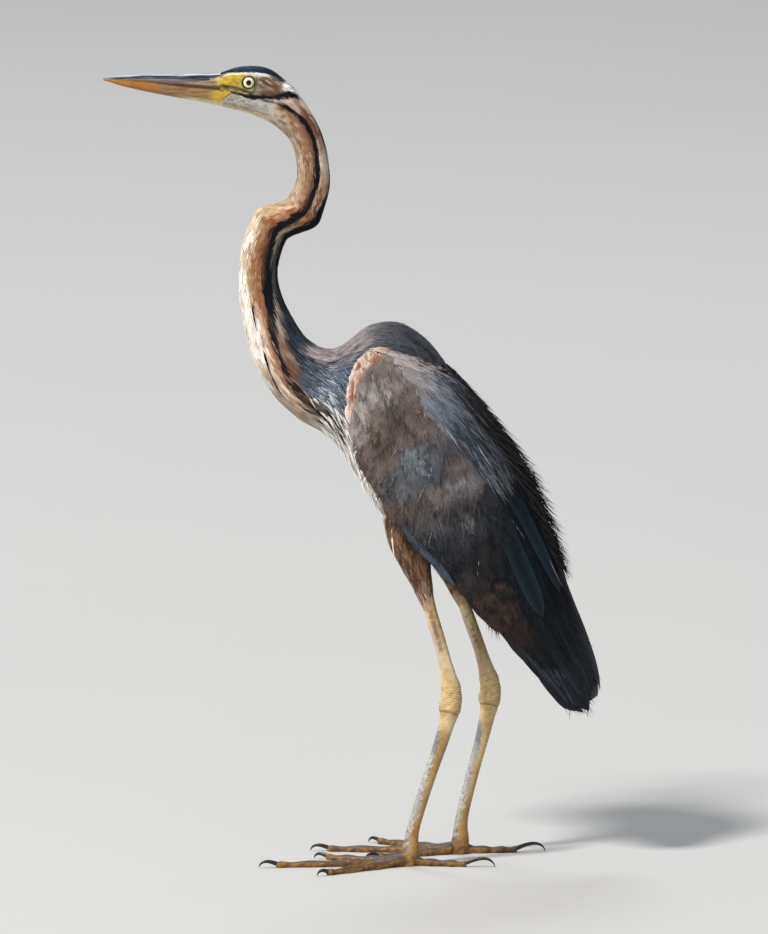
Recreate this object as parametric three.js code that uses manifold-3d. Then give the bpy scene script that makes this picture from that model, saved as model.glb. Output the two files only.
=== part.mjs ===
// A purple heron (Ardea purpurea) standing at rest, life size, in millimetres.
// X points to the bird's left, Y to its tail and Z up. The soles are at Z 0, and the origin is on the
// floor, in the middle of the bird's length. Each limb and the body is a loft along a track of stations.
// Every solid reaches the tips of the plumage, and pieces that touch keep GAP between them.
import * as THREE from "three";
import { mergeVertices } from "three/addons/utils/BufferGeometryUtils.js";
import Module from "manifold-3d";

const wasm = await Module();
wasm.setup();

// ---------------------------------------------------------------- driving sizes
const GAP = 0.3;
const X_AXIS = new THREE.Vector3(1, 0, 0);
const UP = new THREE.Vector3(0, 0, 1);

// Head, neck and trunk, from the bill's base to the root of the tail. Each section runs from a place on
// the back to a place on the front: [back y, back z, front y, front z, half width, keel], where the
// keel is the share by which the section narrows towards the front.
const BODY = [
  [-121.4, 730.7, -120.5, 700.0, 9.6, 0.1], // bill base
  [-101.2, 736.4, -101.2, 695.7, 13.6, 0.1], // eye
  [-77.3, 734.6, -82.8, 689.1, 15.2, 0.1], // ear
  [-57.5, 719.5, -68.1, 680.5, 14.0, 0], // nape
  [-40.5, 698.6, -57.0, 668.9, 12.4, 0],
  [-27.1, 671.7, -51.5, 654.0, 11.4, 0],
  [-20.4, 631.7, -50.8, 631.7, 11.8, 0],
  [-27.1, 601.1, -59.3, 614.6, 12.8, 0], // upper turn of the kink
  [-34.0, 588.5, -66.7, 611.0, 13.0, 0],
  [-56.1, 579.7, -85.6, 605.4, 13.2, 0], // kink
  [-62.6, 571.8, -92.0, 595.5, 13.6, 0],
  [-68.7, 546.3, -101.6, 567.6, 13.8, 0], // lower turn of the kink
  [-63.0, 520.3, -103.5, 523.1, 13.8, 0],
  [-47.4, 491.5, -94.8, 478.5, 17.0, 0],
  [-37.7, 481.5, -85.1, 453.4, 20.0, 0.03],
  [-26.7, 475.4, -69.9, 431.1, 24.0, 0.06], // root of the neck
  [-13.8, 475.2, -47.8, 410.6, 30.0, 0.1],
  [0.0, 484.0, -25.8, 398.6, 37.0, 0.15], // breast
  [18.4, 496.8, -10.1, 383.7, 43.0, 0.2], // shoulders
  [46.0, 497.7, 3.7, 361.4, 46.5, 0.25], // mantle
  [74.5, 476.6, 18.4, 337.2, 48.0, 0.25],
  [103.0, 432.9, 32.2, 320.5, 47.5, 0.25], // belly
  [128.8, 395.8, 51.5, 302.9, 46.0, 0.25],
  [150.9, 358.6, 71.8, 281.5, 43.0, 0.2],
  [181.2, 278.7, 121.4, 230.4, 31.0, 0.1], // rump
  [188.6, 236.0, 145.4, 207.2, 23.0, 0.1],
  [192.3, 199.7, 170.2, 187.7, 15.0, 0], // root of the tail
];
const BODY_PARTS = [
  ["head", 0, 3.3, 14, 16],
  ["neck_upper", 3.3, 7.5, 13, 14],
  ["neck_kink", 7.5, 11.4, 10, 14],
  ["neck_lower", 11.4, 15.4, 12, 16],
  ["trunk", 15.4, 26, 22, 22],
];

// The closed bill's sections from the tip to the base: [top y, top z, bottom y, bottom z, half width].
const BILL = [
  [-228.3, 725.4, -228.3, 723.9, 0.6],
  [-220.8, 727.0, -220.8, 721.9, 1.7],
  [-213.4, 727.9, -213.4, 719.4, 2.7],
  [-195.0, 729.0, -195.0, 714.9, 4.4],
  [-176.6, 729.3, -176.6, 711.1, 5.6],
  [-158.2, 729.6, -158.2, 707.7, 6.8],
  [-139.8, 729.9, -139.8, 704.4, 8.0],
  [-117.8, 730.7, -117.8, 699.8, 9.7],
];
const GAPE_Z = 724.8; // height of the line where the mandibles meet, at the tip
const GAPE_SLOPE = (4.8 * Math.PI) / 180;

const EYE = { x: 10.0, y: -95.2, z: 723.1, radius: 7.0, bulge: 5.0 };

// A folded wing's edges from the bend to the tip: [upper y, upper z, lower y, lower z], then how far
// the upper edge, the fullest line and the lower edge stand from the middle, and the thickness.
const WING = [
  [13.8, 479.8, 3.7, 471.7, 36, 40, 38, 5],
  [20.2, 482.2, -4.1, 449.8, 33, 45, 41, 9],
  [33.1, 481.6, -5.5, 426.4, 29, 52, 46, 12],
  [62.6, 473.2, -1.8, 400.0, 22, 58, 50, 14],
  [91.1, 457.3, 6.4, 364.8, 8, 60, 51, 15],
  [115.9, 430.4, 26.7, 335.1, 2, 60, 51, 15],
  [138.0, 401.1, 56.1, 298.7, 1.5, 58, 50, 14],
  [162.8, 359.7, 90.2, 263.7, 1.5, 53, 45, 12],
  [184.0, 303.1, 127.0, 224.7, 1.5, 46, 39, 9],
  [202.4, 244.5, 161.0, 190.2, 1.5, 38, 31, 7],
  [218.5, 201.8, 184.9, 160.4, 1.5, 30, 24, 5.5],
  [228.2, 165.6, 196.9, 145.6, 1.5, 23, 18, 4],
  [226.8, 147.9, 207.9, 140.1, 1.5, 17, 12, 2.6],
];
const WING_EDGE = 1.6; // the least thickness at the wing's edges, which elsewhere is a share of the whole
const WING_EDGE_SHARE = 0.3;
const WING_STEPS = { along: 19, across: 7 };

// The closed tail under the wing tips, in sections like the bill's.
const TAIL = [
  [169.3, 211.8, 162.8, 199.7, 13],
  [187.7, 190.5, 181.2, 182.1, 17],
  [204.2, 165.4, 197.8, 159.8, 19],
  [217.1, 143.1, 200.6, 138.4, 17],
];

// A leg's bones from joint to joint. Each station is [share of the bone's length from its upper joint,
// bow towards the tail, half depth, half width]. The joints' places are [x, y, z] for each side.
const SHANK = [
  [0, -1, 20.0, 13.0],
  [0.132, -2.9, 18.7, 13.0],
  [0.215, -2.3, 16.5, 12.0],
  [0.276, -2.1, 13.8, 10.5],
  [0.381, -1.0, 9.6, 8.2],
  [0.463, -0.5, 7.1, 6.4],
  [0.529, 0.6, 5.6, 5.0],
  [0.627, 1.2, 5.8, 4.4],
  [0.738, 2.0, 5.7, 4.2],
  [0.822, 2.2, 6.0, 4.6],
  [0.904, 2.0, 7.4, 5.6],
  [0.965, 1.2, 9.4, 6.8],
  [1.01, 0.6, 10.0, 7.2],
];
const FEATHERED_TO = 5.8; // the shank's station where its feathers end
const TARSUS = [
  [-0.03, 0.2, 10.0, 7.2],
  [0.084, 2.2, 8.9, 6.6],
  [0.164, 2.7, 7.2, 5.2],
  [0.29, 2.1, 6.2, 4.3],
  [0.45, 0.3, 5.7, 4.0],
  [0.64, -1.6, 5.6, 4.0],
  [0.8, -2.4, 5.6, 4.2],
  [0.88, -1.6, 6.4, 5.2],
  [0.94, 0.0, 7.6, 7.0],
  [0.99, 0.5, 8.4, 7.8],
  [1.08, 0.5, 8.4, 7.8],
];
const LEGS = {
  left: { side: 1, knee: [27, 48.8, 327.5], ankle: [31, 91.1, 157.5], foot: [35, 51.5, 5.6] },
  right: { side: -1, knee: [-27, 75.3, 321.3], ankle: [-31, 127.0, 155.5], foot: [-35, 98.5, 5.6] },
};

// Toes: angle from straight ahead, outwards positive, in degrees, and the length without its claw.
const TOES = {
  middle: { turn: 6, length: 122, claw: 19 },
  outer: { turn: 38, length: 94, claw: 15 },
  inner: { turn: -24, length: 82, claw: 16 },
  hind: { turn: 172, length: 54, claw: 30 },
};
const TOE_RADIUS = 3.7;
const TOE_TIP_RADIUS = 2.9;
const TOE_REST = 0.8; // how far a toe's round underside would dip below the floor: its flat is cut there
const CLAW_RADIUS = 2.1;

// ---------------------------------------------------------------- materials
const colour = (name, hex, roughness) =>
  new THREE.MeshStandardMaterial({ name, color: hex, roughness, metalness: 0 });
const plumage = {
  head: colour("head_feathers", 0x8a6248, 0.8),
  neck: colour("neck_feathers", 0xb9774a, 0.8),
  trunk: colour("body_feathers", 0x5a5f6b, 0.8),
  wing: colour("wing_feathers", 0x5d5753, 0.75),
  tail: colour("tail_feathers", 0x24272f, 0.7),
  thigh: colour("thigh_feathers", 0x8f5f42, 0.8),
};
const horn = {
  upper: colour("bill_upper_horn", 0x8a6d42, 0.4),
  lower: colour("bill_lower_horn", 0xb98436, 0.4),
  claw: colour("claw_horn", 0x1c1a1b, 0.35),
};
const legSkin = colour("leg_skin", 0xc4a95e, 0.55);
const toeSkin = colour("toe_skin", 0x8a6228, 0.6);
const eyeGloss = colour("eye", 0xe6cf6a, 0.1);

// ---------------------------------------------------------------- tracks and lofts
// The numbers at a place along a track, counted in stations: each follows a Catmull-Rom curve.
function sample(rows, place) {
  const i = Math.min(Math.max(Math.floor(place), 0), rows.length - 2);
  const f = place - i;
  const b = rows[i];
  const c = rows[i + 1];
  const a = i > 0 ? rows[i - 1] : b.map((v, k) => 2 * v - c[k]);
  const d = i + 2 < rows.length ? rows[i + 2] : c.map((v, k) => 2 * v - b[k]);
  return b.map((v, k) => {
    const linear = (c[k] - a[k]) * f;
    const square = (2 * a[k] - 5 * v + 4 * c[k] - d[k]) * f ** 2;
    const cube = (3 * v - a[k] - 3 * c[k] + d[k]) * f ** 3;
    return 0.5 * (2 * v + linear + square + cube);
  });
}

// A section of a solid is its middle, the half chords to its back and to its side, and its keel.
// These are the sections of rows that run from a place on the back to a place on the front, like BODY's.
const chordSections = (rows) => (place) => {
  const [backY, backZ, frontY, frontZ, wide, keel = 0] = sample(rows, place);
  const back = new THREE.Vector3(0, backY, backZ);
  const front = new THREE.Vector3(0, frontY, frontZ);
  return {
    middle: back.clone().add(front).multiplyScalar(0.5),
    back: back.sub(front).multiplyScalar(0.5),
    side: X_AXIS.clone().multiplyScalar(wide),
    keel,
  };
};

const placeOf = (row) => new THREE.Vector3(row[0], row[1], row[2]);

// Sections square to a track with rows of [x, y, z, half depth, half width]. across is roughly the
// direction of their width.
const trackSections = (rows, across = X_AXIS) => (place) => {
  const row = sample(rows, place);
  const step = 0.02;
  const ahead = placeOf(sample(rows, Math.min(place + step, rows.length - 1)));
  const tangent = ahead.sub(placeOf(sample(rows, Math.max(place - step, 0)))).normalize();
  const side = across.clone().addScaledVector(tangent, -across.dot(tangent)).normalize();
  const back = side.clone().cross(tangent).multiplyScalar(row[3]);
  return { middle: placeOf(row), back, side: side.multiplyScalar(row[4]), keel: 0 };
};

// A closed mesh from rings of points, each ring with the same number, with a fan over both ends.
function closeRings(rings, cap = fanCap) {
  const sides = rings[0].length;
  const points = rings.flat();
  const faces = [];
  for (let r = 0; r + 1 < rings.length; r++) {
    for (let i = 0; i < sides; i++) {
      const a = r * sides + i;
      const b = r * sides + ((i + 1) % sides);
      faces.push([a, b, a + sides], [b, b + sides, a + sides]);
    }
  }
  cap(points, faces, 0, sides, true);
  cap(points, faces, (rings.length - 1) * sides, sides, false);
  return meshOf(points, faces);
}

function fanCap(points, faces, first, sides, turned) {
  const middle = new THREE.Vector3();
  for (let i = 0; i < sides; i++) middle.addScaledVector(points[first + i], 1 / sides);
  points.push(middle);
  const hub = points.length - 1;
  for (let i = 0; i < sides; i++) {
    const a = first + i;
    const b = first + ((i + 1) % sides);
    faces.push(turned ? [b, a, hub] : [a, b, hub]);
  }
}

// For a ring that is a thin sheet's outer side and then its inner side, back again.
function stripCap(points, faces, first, sides, turned) {
  for (let i = 0; i + 1 < sides / 2; i++) {
    const a = first + i;
    const b = a + 1;
    const d = first + sides - 1 - i;
    const c = d - 1;
    const pair = turned ? [[b, a, d], [b, d, c]] : [[a, b, d], [b, c, d]];
    faces.push(...pair);
  }
}

// An indexed geometry that faces out, whichever way its rings ran.
function meshOf(points, faces) {
  const volume = faces.reduce((sum, [a, b, c]) => {
    return sum + points[a].dot(points[b].clone().cross(points[c]));
  }, 0);
  const facing = volume < 0 ? faces.map(([a, b, c]) => [a, c, b]) : faces;
  const geometry = new THREE.BufferGeometry();
  const places = points.flatMap((p) => [p.x, p.y, p.z]);
  geometry.setAttribute("position", new THREE.Float32BufferAttribute(places, 3));
  geometry.setIndex(facing.flat());
  return geometry;
}

// A loft through sections between two places. grow makes the whole solid that much larger, for cutting
// a neighbour clear of it.
function loft(sections, { from = 0, to, rings, sides, grow = 0 }) {
  const roundness = 2.2;
  const squared = (v) => Math.sign(v) * Math.abs(v) ** (2 / roundness);
  const longer = (v, by) => v.clone().setLength(v.length() + by);
  const made = [];
  for (let r = 0; r < rings; r++) {
    const { middle, back, side, keel } = sections(from + ((to - from) * r) / (rings - 1));
    const ahead = back.clone().cross(side).normalize();
    const end = r === 0 ? -grow : r === rings - 1 ? grow : 0;
    const ring = [];
    for (let i = 0; i < sides; i++) {
      const angle = (2 * Math.PI * i) / sides;
      const narrow = 1 - (keel * (1 - Math.cos(angle))) / 2;
      ring.push(
        middle
          .clone()
          .addScaledVector(ahead, end)
          .addScaledVector(longer(back, grow), squared(Math.cos(angle)))
          .addScaledVector(longer(side.clone().multiplyScalar(narrow), grow), squared(Math.sin(angle))),
      );
    }
    made.push(ring);
  }
  return closeRings(made);
}

// ---------------------------------------------------------------- solids
function toSolid(geometry) {
  const bare = geometry.index ? geometry.toNonIndexed() : geometry.clone();
  bare.deleteAttribute("normal");
  bare.deleteAttribute("uv");
  const merged = mergeVertices(bare, 1e-4);
  return new wasm.Manifold(
    new wasm.Mesh({
      numProp: 3,
      vertProperties: merged.attributes.position.array,
      triVerts: new Uint32Array(merged.index.array),
    }),
  );
}

function toGeometry(solid) {
  const mesh = solid.getMesh();
  const geometry = new THREE.BufferGeometry();
  geometry.setAttribute("position", new THREE.BufferAttribute(mesh.vertProperties, 3));
  geometry.setIndex(new THREE.BufferAttribute(mesh.triVerts, 1));
  return geometry;
}

// The largest body that is left of a solid after its cuts.
function cut(solid, ...tools) {
  const left = tools.reduce((rest, tool) => rest.subtract(tool), solid);
  return left.decompose().reduce((a, b) => (a.volume() > b.volume() ? a : b));
}

function block(width, depth, height, middle, tilt = 0) {
  const box = new THREE.BoxGeometry(width, depth, height);
  box.rotateX(tilt);
  box.translate(...middle);
  return toSolid(box);
}

const heron = new THREE.Group();
function add(name, solid, material) {
  const mesh = new THREE.Mesh(toGeometry(solid), material);
  mesh.name = name;
  heron.add(mesh);
}

// ---------------------------------------------------------------- head, neck and trunk
const bodySections = chordSections(BODY);

// A place on the track moved on by a distance in millimetres.
function movedOn(sections, place, distance) {
  const reach = 0.05;
  const { middle } = sections(place);
  return place + (distance * reach) / middle.distanceTo(sections(place + reach).middle);
}

function bodyPart(from, to, rings, sides, grow = 0) {
  const end = to < BODY.length - 1 ? movedOn(bodySections, to, -2 * GAP) : to;
  return toSolid(loft(bodySections, { from, to: end, rings, sides, grow }));
}

const [, ...headRange] = BODY_PARTS[0];
const trunkRange = BODY_PARTS.at(-1).slice(1);
const headGrown = bodyPart(...headRange, GAP);
const trunkGrown = bodyPart(...trunkRange, GAP);

function eyeball(side, grow = 0) {
  const ball = new THREE.SphereGeometry(1, 12, 8);
  ball.rotateZ(Math.PI / 2);
  ball.scale(EYE.bulge + grow, EYE.radius + grow, EYE.radius + grow);
  return toSolid(ball.translate(side * EYE.x, EYE.y, EYE.z));
}

function addBody() {
  const sockets = [eyeball(1, GAP), eyeball(-1, GAP)];
  for (const [name, ...range] of BODY_PARTS) {
    add(name, cut(bodyPart(...range), ...sockets), plumage[name] ?? plumage.neck);
  }
  for (const [name, side] of [["eye_left", 1], ["eye_right", -1]]) {
    add(name, eyeball(side), eyeGloss);
  }
}

// ---------------------------------------------------------------- bill
function addBill() {
  const last = BILL.length - 1;
  const whole = toSolid(loft(chordSections(BILL), { to: last, rings: 11, sides: 12 }));
  const size = 400;
  const tipY = BILL[0][0];
  const slab = (above) => {
    const away = (above * (size - GAP)) / 2;
    const y = tipY + away * Math.sin(GAPE_SLOPE);
    const z = GAPE_Z + away * Math.cos(GAPE_SLOPE);
    return block(size, size * 2, size, [0, y, z], -GAPE_SLOPE);
  };
  add("bill_upper", cut(whole, slab(-1), headGrown), horn.upper);
  add("bill_lower", cut(whole, slab(1), headGrown), horn.lower);
}

// ---------------------------------------------------------------- wings
// A place on a folded wing's outer side: across runs from 0 at the upper edge to 1 at the lower one.
function onWing(row, across, side) {
  const [upperY, upperZ, lowerY, lowerZ, upperX, fullX, lowerX] = row;
  const arch = Math.sin(Math.PI * across) ** 0.7;
  const edgeX = across < 0.5 ? upperX : lowerX;
  return new THREE.Vector3(
    side * (edgeX + (fullX - edgeX) * arch),
    upperY + (lowerY - upperY) * across,
    upperZ + (lowerZ - upperZ) * across,
  );
}

function wingSheet(side) {
  const { along, across } = WING_STEPS;
  const last = WING.length - 1;
  const rings = [];
  for (let i = 0; i <= along; i++) {
    const place = (last * i) / along;
    const row = sample(WING, place);
    const ahead = sample(WING, Math.min(place + 0.1, last));
    const behind = sample(WING, Math.max(place - 0.1, 0));
    const outer = [];
    const inner = [];
    for (let k = 0; k <= across; k++) {
      const t = k / across;
      const point = onWing(row, t, side);
      const lengthwise = onWing(ahead, t, side).sub(onWing(behind, t, side));
      const t0 = Math.max(t - 0.08, 0);
      const t1 = Math.min(t + 0.08, 1);
      const crosswise = onWing(row, t1, side).sub(onWing(row, t0, side));
      const outward = crosswise.cross(lengthwise).normalize();
      if (outward.x * side < 0) outward.negate();
      const pillow = Math.sqrt(1 - (2 * t - 1) ** 2);
      const edge = Math.max(WING_EDGE, row[7] * WING_EDGE_SHARE);
      const thick = edge + (row[7] - edge) * pillow;
      outer.push(point);
      inner.unshift(point.clone().addScaledVector(outward, -thick));
    }
    rings.push([...outer, ...inner]);
  }
  return toSolid(closeRings(rings, stripCap));
}

// ---------------------------------------------------------------- legs
// Stations measured along a bone from one joint to the next, as a track.
function boneTrack(stations, top, bottom) {
  const from = new THREE.Vector3(...top);
  const bone = new THREE.Vector3(...bottom).sub(from);
  const back = X_AXIS.clone().cross(bone).normalize();
  const rows = stations.map(([share, bow, deep, wide]) => {
    const p = from.clone().addScaledVector(bone, share).addScaledVector(back, bow);
    return [p.x, p.y, p.z, deep, wide];
  });
  return trackSections(rows);
}

const FLOOR_BLOCK = block(600, 600, 40, [0, 0, -20]);

// The level direction that a toe points in, from the middle of its foot.
function toeDirection(leg, { turn }) {
  const angle = THREE.MathUtils.degToRad(turn);
  return new THREE.Vector3(leg.side * Math.sin(angle), -Math.cos(angle), 0);
}

// A place at a distance along a toe, as a row for trackSections().
function toeRow(leg, shape, distance, height, radius, flatness) {
  const root = new THREE.Vector3(leg.foot[0], leg.foot[1], 0);
  const p = root.addScaledVector(toeDirection(leg, shape), distance);
  return [p.x, p.y, height, radius, radius * flatness];
}

// A toe rests on the floor, with a swelling under every second joint and a rounded end.
function toeRows(leg, shape) {
  const joints = [0, 0.12, 0.26, 0.42, 0.58, 0.74, 0.88, 0.97, 1];
  return joints.map((share, i) => {
    const taper = TOE_RADIUS + (TOE_TIP_RADIUS - TOE_RADIUS) * share;
    const swelling = i % 2 ? 0.35 : -0.25;
    const radius = i === joints.length - 1 ? taper * 0.55 : taper + swelling;
    const height = taper - TOE_REST + 2.4 * (1 - share) ** 3;
    return toeRow(leg, shape, shape.length * share, height, radius, 0.95);
  });
}

// A claw curves up from the toe's end and down to the floor.
function clawRows(leg, shape) {
  const steps = 6;
  const start = TOE_TIP_RADIUS - TOE_REST + 0.4;
  return Array.from({ length: steps + 1 }, (_, i) => {
    const share = i / steps;
    const distance = shape.length - 3 + shape.claw * Math.sin(1.45 * share);
    const arch = shape.claw * 0.2 * Math.sin(Math.PI * share);
    const height = start + arch - (start - 0.7) * share ** 2;
    return toeRow(leg, shape, distance, height, CLAW_RADIUS * (1 - 0.8 * share ** 1.5), 0.8);
  });
}

// The toes are cut clear of the foot's pad and of the middle toe, and each claw of its toe.
function addFoot(name, leg, padGrown) {
  const neighbours = [];
  for (const [toe, shape] of Object.entries(TOES)) {
    const ahead = toeDirection(leg, shape);
    const across = new THREE.Vector3(-ahead.y, ahead.x, 0);
    const track = (rows, size) => loft(trackSections(rows, across), { to: rows.length - 1, ...size });
    const toeSolid = (grow) => toSolid(track(toeRows(leg, shape), { rings: 9, sides: 7, grow }));
    const claw = toSolid(track(clawRows(leg, shape), { rings: 6, sides: 5 }));
    const grown = toeSolid(GAP);
    add(`toe_${toe}_${name}`, cut(toeSolid(0), FLOOR_BLOCK, padGrown, ...neighbours), toeSkin);
    add(`claw_${toe}_${name}`, cut(claw, FLOOR_BLOCK, grown), horn.claw);
    if (toe === "middle") neighbours.push(grown);
  }
}

function addLeg(name, leg) {
  const shank = boneTrack(SHANK, leg.knee, leg.ankle);
  const tarsus = boneTrack(TARSUS, leg.ankle, leg.foot);
  const thighPart = (grow) =>
    toSolid(loft(shank, { to: FEATHERED_TO, rings: 8, sides: 12, grow }));
  const from = movedOn(shank, FEATHERED_TO, GAP);
  const tibia = toSolid(loft(shank, { from, to: SHANK.length - 1, rings: 9, sides: 10 }));
  const tarsusPart = (grow) =>
    toSolid(loft(tarsus, { to: TARSUS.length - 1, rings: 13, sides: 10, grow }));
  const tarsusGrown = tarsusPart(GAP);
  add(`thigh_${name}`, cut(thighPart(0), trunkGrown), plumage.thigh);
  add(`shank_${name}`, cut(tibia, tarsusGrown), legSkin);
  add(`tarsus_${name}`, cut(tarsusPart(0), FLOOR_BLOCK), legSkin);
  addFoot(name, leg, tarsusGrown);
  return thighPart(GAP);
}

// ---------------------------------------------------------------- assembly
addBody();
addBill();
const thighsGrown = Object.entries(LEGS).map(([name, leg]) => addLeg(name, leg));
const tailPart = (grow) =>
  toSolid(loft(chordSections(TAIL), { to: TAIL.length - 1, rings: 6, sides: 12, grow }));
add("tail", cut(tailPart(0), trunkGrown), plumage.tail);
for (const [name, leg] of Object.entries(LEGS)) {
  const sheet = wingSheet(leg.side);
  const otherSide = block(200, 800, 1600, [leg.side * (GAP - 100), 0, 0]);
  const tools = [otherSide, trunkGrown, tailPart(GAP), ...thighsGrown];
  add(`wing_${name}`, cut(sheet, ...tools), plumage.wing);
}

export default heron;
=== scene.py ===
"""A purple heron's skin, plumage, bill, eyes and legs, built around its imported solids.

Shapes are worked out in millimetres and become metres in make_piece(). X points to the bird's left, Y to
its tail and Z up. A surface is read at a place along it, counted in stations, and a place across it.
"""

import math

import bpy
import numpy as np
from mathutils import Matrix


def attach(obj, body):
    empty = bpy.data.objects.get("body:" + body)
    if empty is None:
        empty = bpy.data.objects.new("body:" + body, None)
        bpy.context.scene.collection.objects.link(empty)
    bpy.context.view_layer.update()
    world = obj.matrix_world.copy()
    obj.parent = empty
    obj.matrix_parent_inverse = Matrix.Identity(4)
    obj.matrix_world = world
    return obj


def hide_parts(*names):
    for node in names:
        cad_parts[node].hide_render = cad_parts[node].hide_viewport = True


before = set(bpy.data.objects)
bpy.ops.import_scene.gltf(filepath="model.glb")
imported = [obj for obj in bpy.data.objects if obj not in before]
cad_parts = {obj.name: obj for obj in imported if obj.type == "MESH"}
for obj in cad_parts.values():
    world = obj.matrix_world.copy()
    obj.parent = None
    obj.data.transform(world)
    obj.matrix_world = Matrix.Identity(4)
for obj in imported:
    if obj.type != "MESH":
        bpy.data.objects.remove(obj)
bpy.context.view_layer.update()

MM = 0.001
DEGREE = math.pi / 180
AROUND = (-math.pi, math.pi)
PATCH = 0.003  # size of a feather's patch on the OFBake map
rng = np.random.default_rng(7)


# ---------------------------------------------------------------- driving sizes
# The body from the bill's base to the root of the tail: [back y, back z, front y, front z, half width,
# keel], as in the solids.
BODY = [
    [-121.4, 730.7, -120.5, 700.0, 9.6, 0.1],  # bill base
    [-101.2, 736.4, -101.2, 695.7, 13.6, 0.1],  # eye
    [-77.3, 734.6, -82.8, 689.1, 15.2, 0.1],  # ear
    [-57.5, 719.5, -68.1, 680.5, 14.0, 0],  # nape
    [-40.5, 698.6, -57.0, 668.9, 12.4, 0],
    [-27.1, 671.7, -51.5, 654.0, 11.4, 0],
    [-20.4, 631.7, -50.8, 631.7, 11.8, 0],
    [-27.1, 601.1, -59.3, 614.6, 12.8, 0],  # upper turn of the kink
    [-34.0, 588.5, -66.7, 611.0, 13.0, 0],
    [-56.1, 579.7, -85.6, 605.4, 13.2, 0],  # kink
    [-62.6, 571.8, -92.0, 595.5, 13.6, 0],
    [-68.7, 546.3, -101.6, 567.6, 13.8, 0],  # lower turn of the kink
    [-63.0, 520.3, -103.5, 523.1, 13.8, 0],
    [-47.4, 491.5, -94.8, 478.5, 17.0, 0],
    [-37.7, 481.5, -85.1, 453.4, 20.0, 0.03],
    [-26.7, 475.4, -69.9, 431.1, 24.0, 0.06],  # root of the neck
    [-13.8, 475.2, -47.8, 410.6, 30.0, 0.1],
    [0.0, 484.0, -25.8, 398.6, 37.0, 0.15],  # breast
    [18.4, 496.8, -10.1, 383.7, 43.0, 0.2],  # shoulders
    [46.0, 497.7, 3.7, 361.4, 46.5, 0.25],  # mantle
    [74.5, 476.6, 18.4, 337.2, 48.0, 0.25],
    [103.0, 432.9, 32.2, 320.5, 47.5, 0.25],  # belly
    [128.8, 395.8, 51.5, 302.9, 46.0, 0.25],
    [150.9, 358.6, 71.8, 281.5, 43.0, 0.2],
    [181.2, 278.7, 121.4, 230.4, 31.0, 0.1],  # rump
    [188.6, 236.0, 145.4, 207.2, 23.0, 0.1],
    [192.3, 199.7, 170.2, 187.7, 15.0, 0],  # root of the tail
]
# The bill from the tip to the base: [top y, top z, bottom y, bottom z, half width].
BILL = [
    [-228.3, 725.4, -228.3, 723.9, 0.6],
    [-220.8, 727.0, -220.8, 721.9, 1.7],
    [-213.4, 727.9, -213.4, 719.4, 2.7],
    [-195.0, 729.0, -195.0, 714.9, 4.4],
    [-176.6, 729.3, -176.6, 711.1, 5.6],
    [-158.2, 729.6, -158.2, 707.7, 6.8],
    [-139.8, 729.9, -139.8, 704.4, 8.0],
    [-117.8, 730.7, -117.8, 699.8, 9.7],
]
GAPE_Z = 726.0  # height of the line where the mandibles meet, at the tip
GAPE_SLOPE = math.radians(4.8)
EYE = {"x": 10.0, "y": -94.7, "z": 723.5, "radius": 7.0, "bulge": 5.0}
LID = {"x": 12.75, "radius": 6.05, "half_width": 0.95, "half_height": 0.8}
IRIS_RADIUS = 5.0
PUPIL_RADIUS = 2.35

# A folded wing's edges from the bend to the tip: [upper y, upper z, lower y, lower z], then how far the
# upper edge, the fullest line and the lower edge stand from the middle, and the thickness.
WING = [
    [13.8, 479.8, 3.7, 471.7, 36, 40, 38, 5],
    [20.2, 482.2, -4.1, 449.8, 33, 45, 41, 9],
    [33.1, 481.6, -5.5, 426.4, 29, 52, 46, 12],
    [62.6, 473.2, -1.8, 400.0, 22, 58, 50, 14],
    [91.1, 457.3, 6.4, 364.8, 8, 60, 51, 15],
    [115.9, 430.4, 26.7, 335.1, 2, 60, 51, 15],
    [138.0, 401.1, 56.1, 298.7, 1.5, 58, 50, 14],
    [162.8, 359.7, 90.2, 263.7, 1.5, 53, 45, 12],
    [184.0, 303.1, 127.0, 224.7, 1.5, 46, 39, 9],
    [202.4, 244.5, 161.0, 190.2, 1.5, 38, 31, 7],
    [218.5, 201.8, 184.9, 160.4, 1.5, 30, 24, 5.5],
    [228.2, 165.6, 196.9, 145.6, 1.5, 23, 18, 4],
    [226.8, 147.9, 207.9, 140.1, 1.5, 17, 12, 2.6],
]
# The closed tail in sections like the bill's.
TAIL = [
    [169.3, 211.8, 162.8, 199.7, 13],
    [187.7, 190.5, 181.2, 182.1, 17],
    [204.2, 165.4, 197.8, 159.8, 19],
    [217.1, 143.1, 200.6, 138.4, 17],
]
# A leg's bones: [share of the bone from its upper joint, bow towards the tail, half depth, half width].
SHANK = [
    [0, -1, 20.0, 13.0],
    [0.132, -2.9, 18.7, 13.0],
    [0.215, -2.3, 16.5, 12.0],
    [0.276, -2.1, 13.8, 10.5],
    [0.381, -1.0, 9.6, 8.2],
    [0.463, -0.5, 7.1, 6.4],
    [0.529, 0.6, 5.6, 5.0],
    [0.627, 1.2, 5.8, 4.4],
    [0.738, 2.0, 5.7, 4.2],
    [0.822, 2.2, 6.0, 4.6],
    [0.904, 2.0, 7.4, 5.6],
    [0.965, 1.2, 9.4, 6.8],
]
FEATHERED_TO = 5.8  # the shank's station where its feathers end
TARSUS = [
    [0.084, 2.2, 8.9, 6.6],
    [0.164, 2.7, 7.2, 5.2],
    [0.29, 2.1, 6.2, 4.3],
    [0.45, 0.3, 5.7, 4.0],
    [0.64, -1.6, 5.6, 4.0],
    [0.8, -2.4, 5.6, 4.2],
    [0.88, -1.6, 6.4, 5.2],
    [0.94, 0.0, 7.6, 7.0],
    [0.99, 0.5, 8.4, 7.8],
    [1.08, 0.5, 8.4, 7.8],
]
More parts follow.
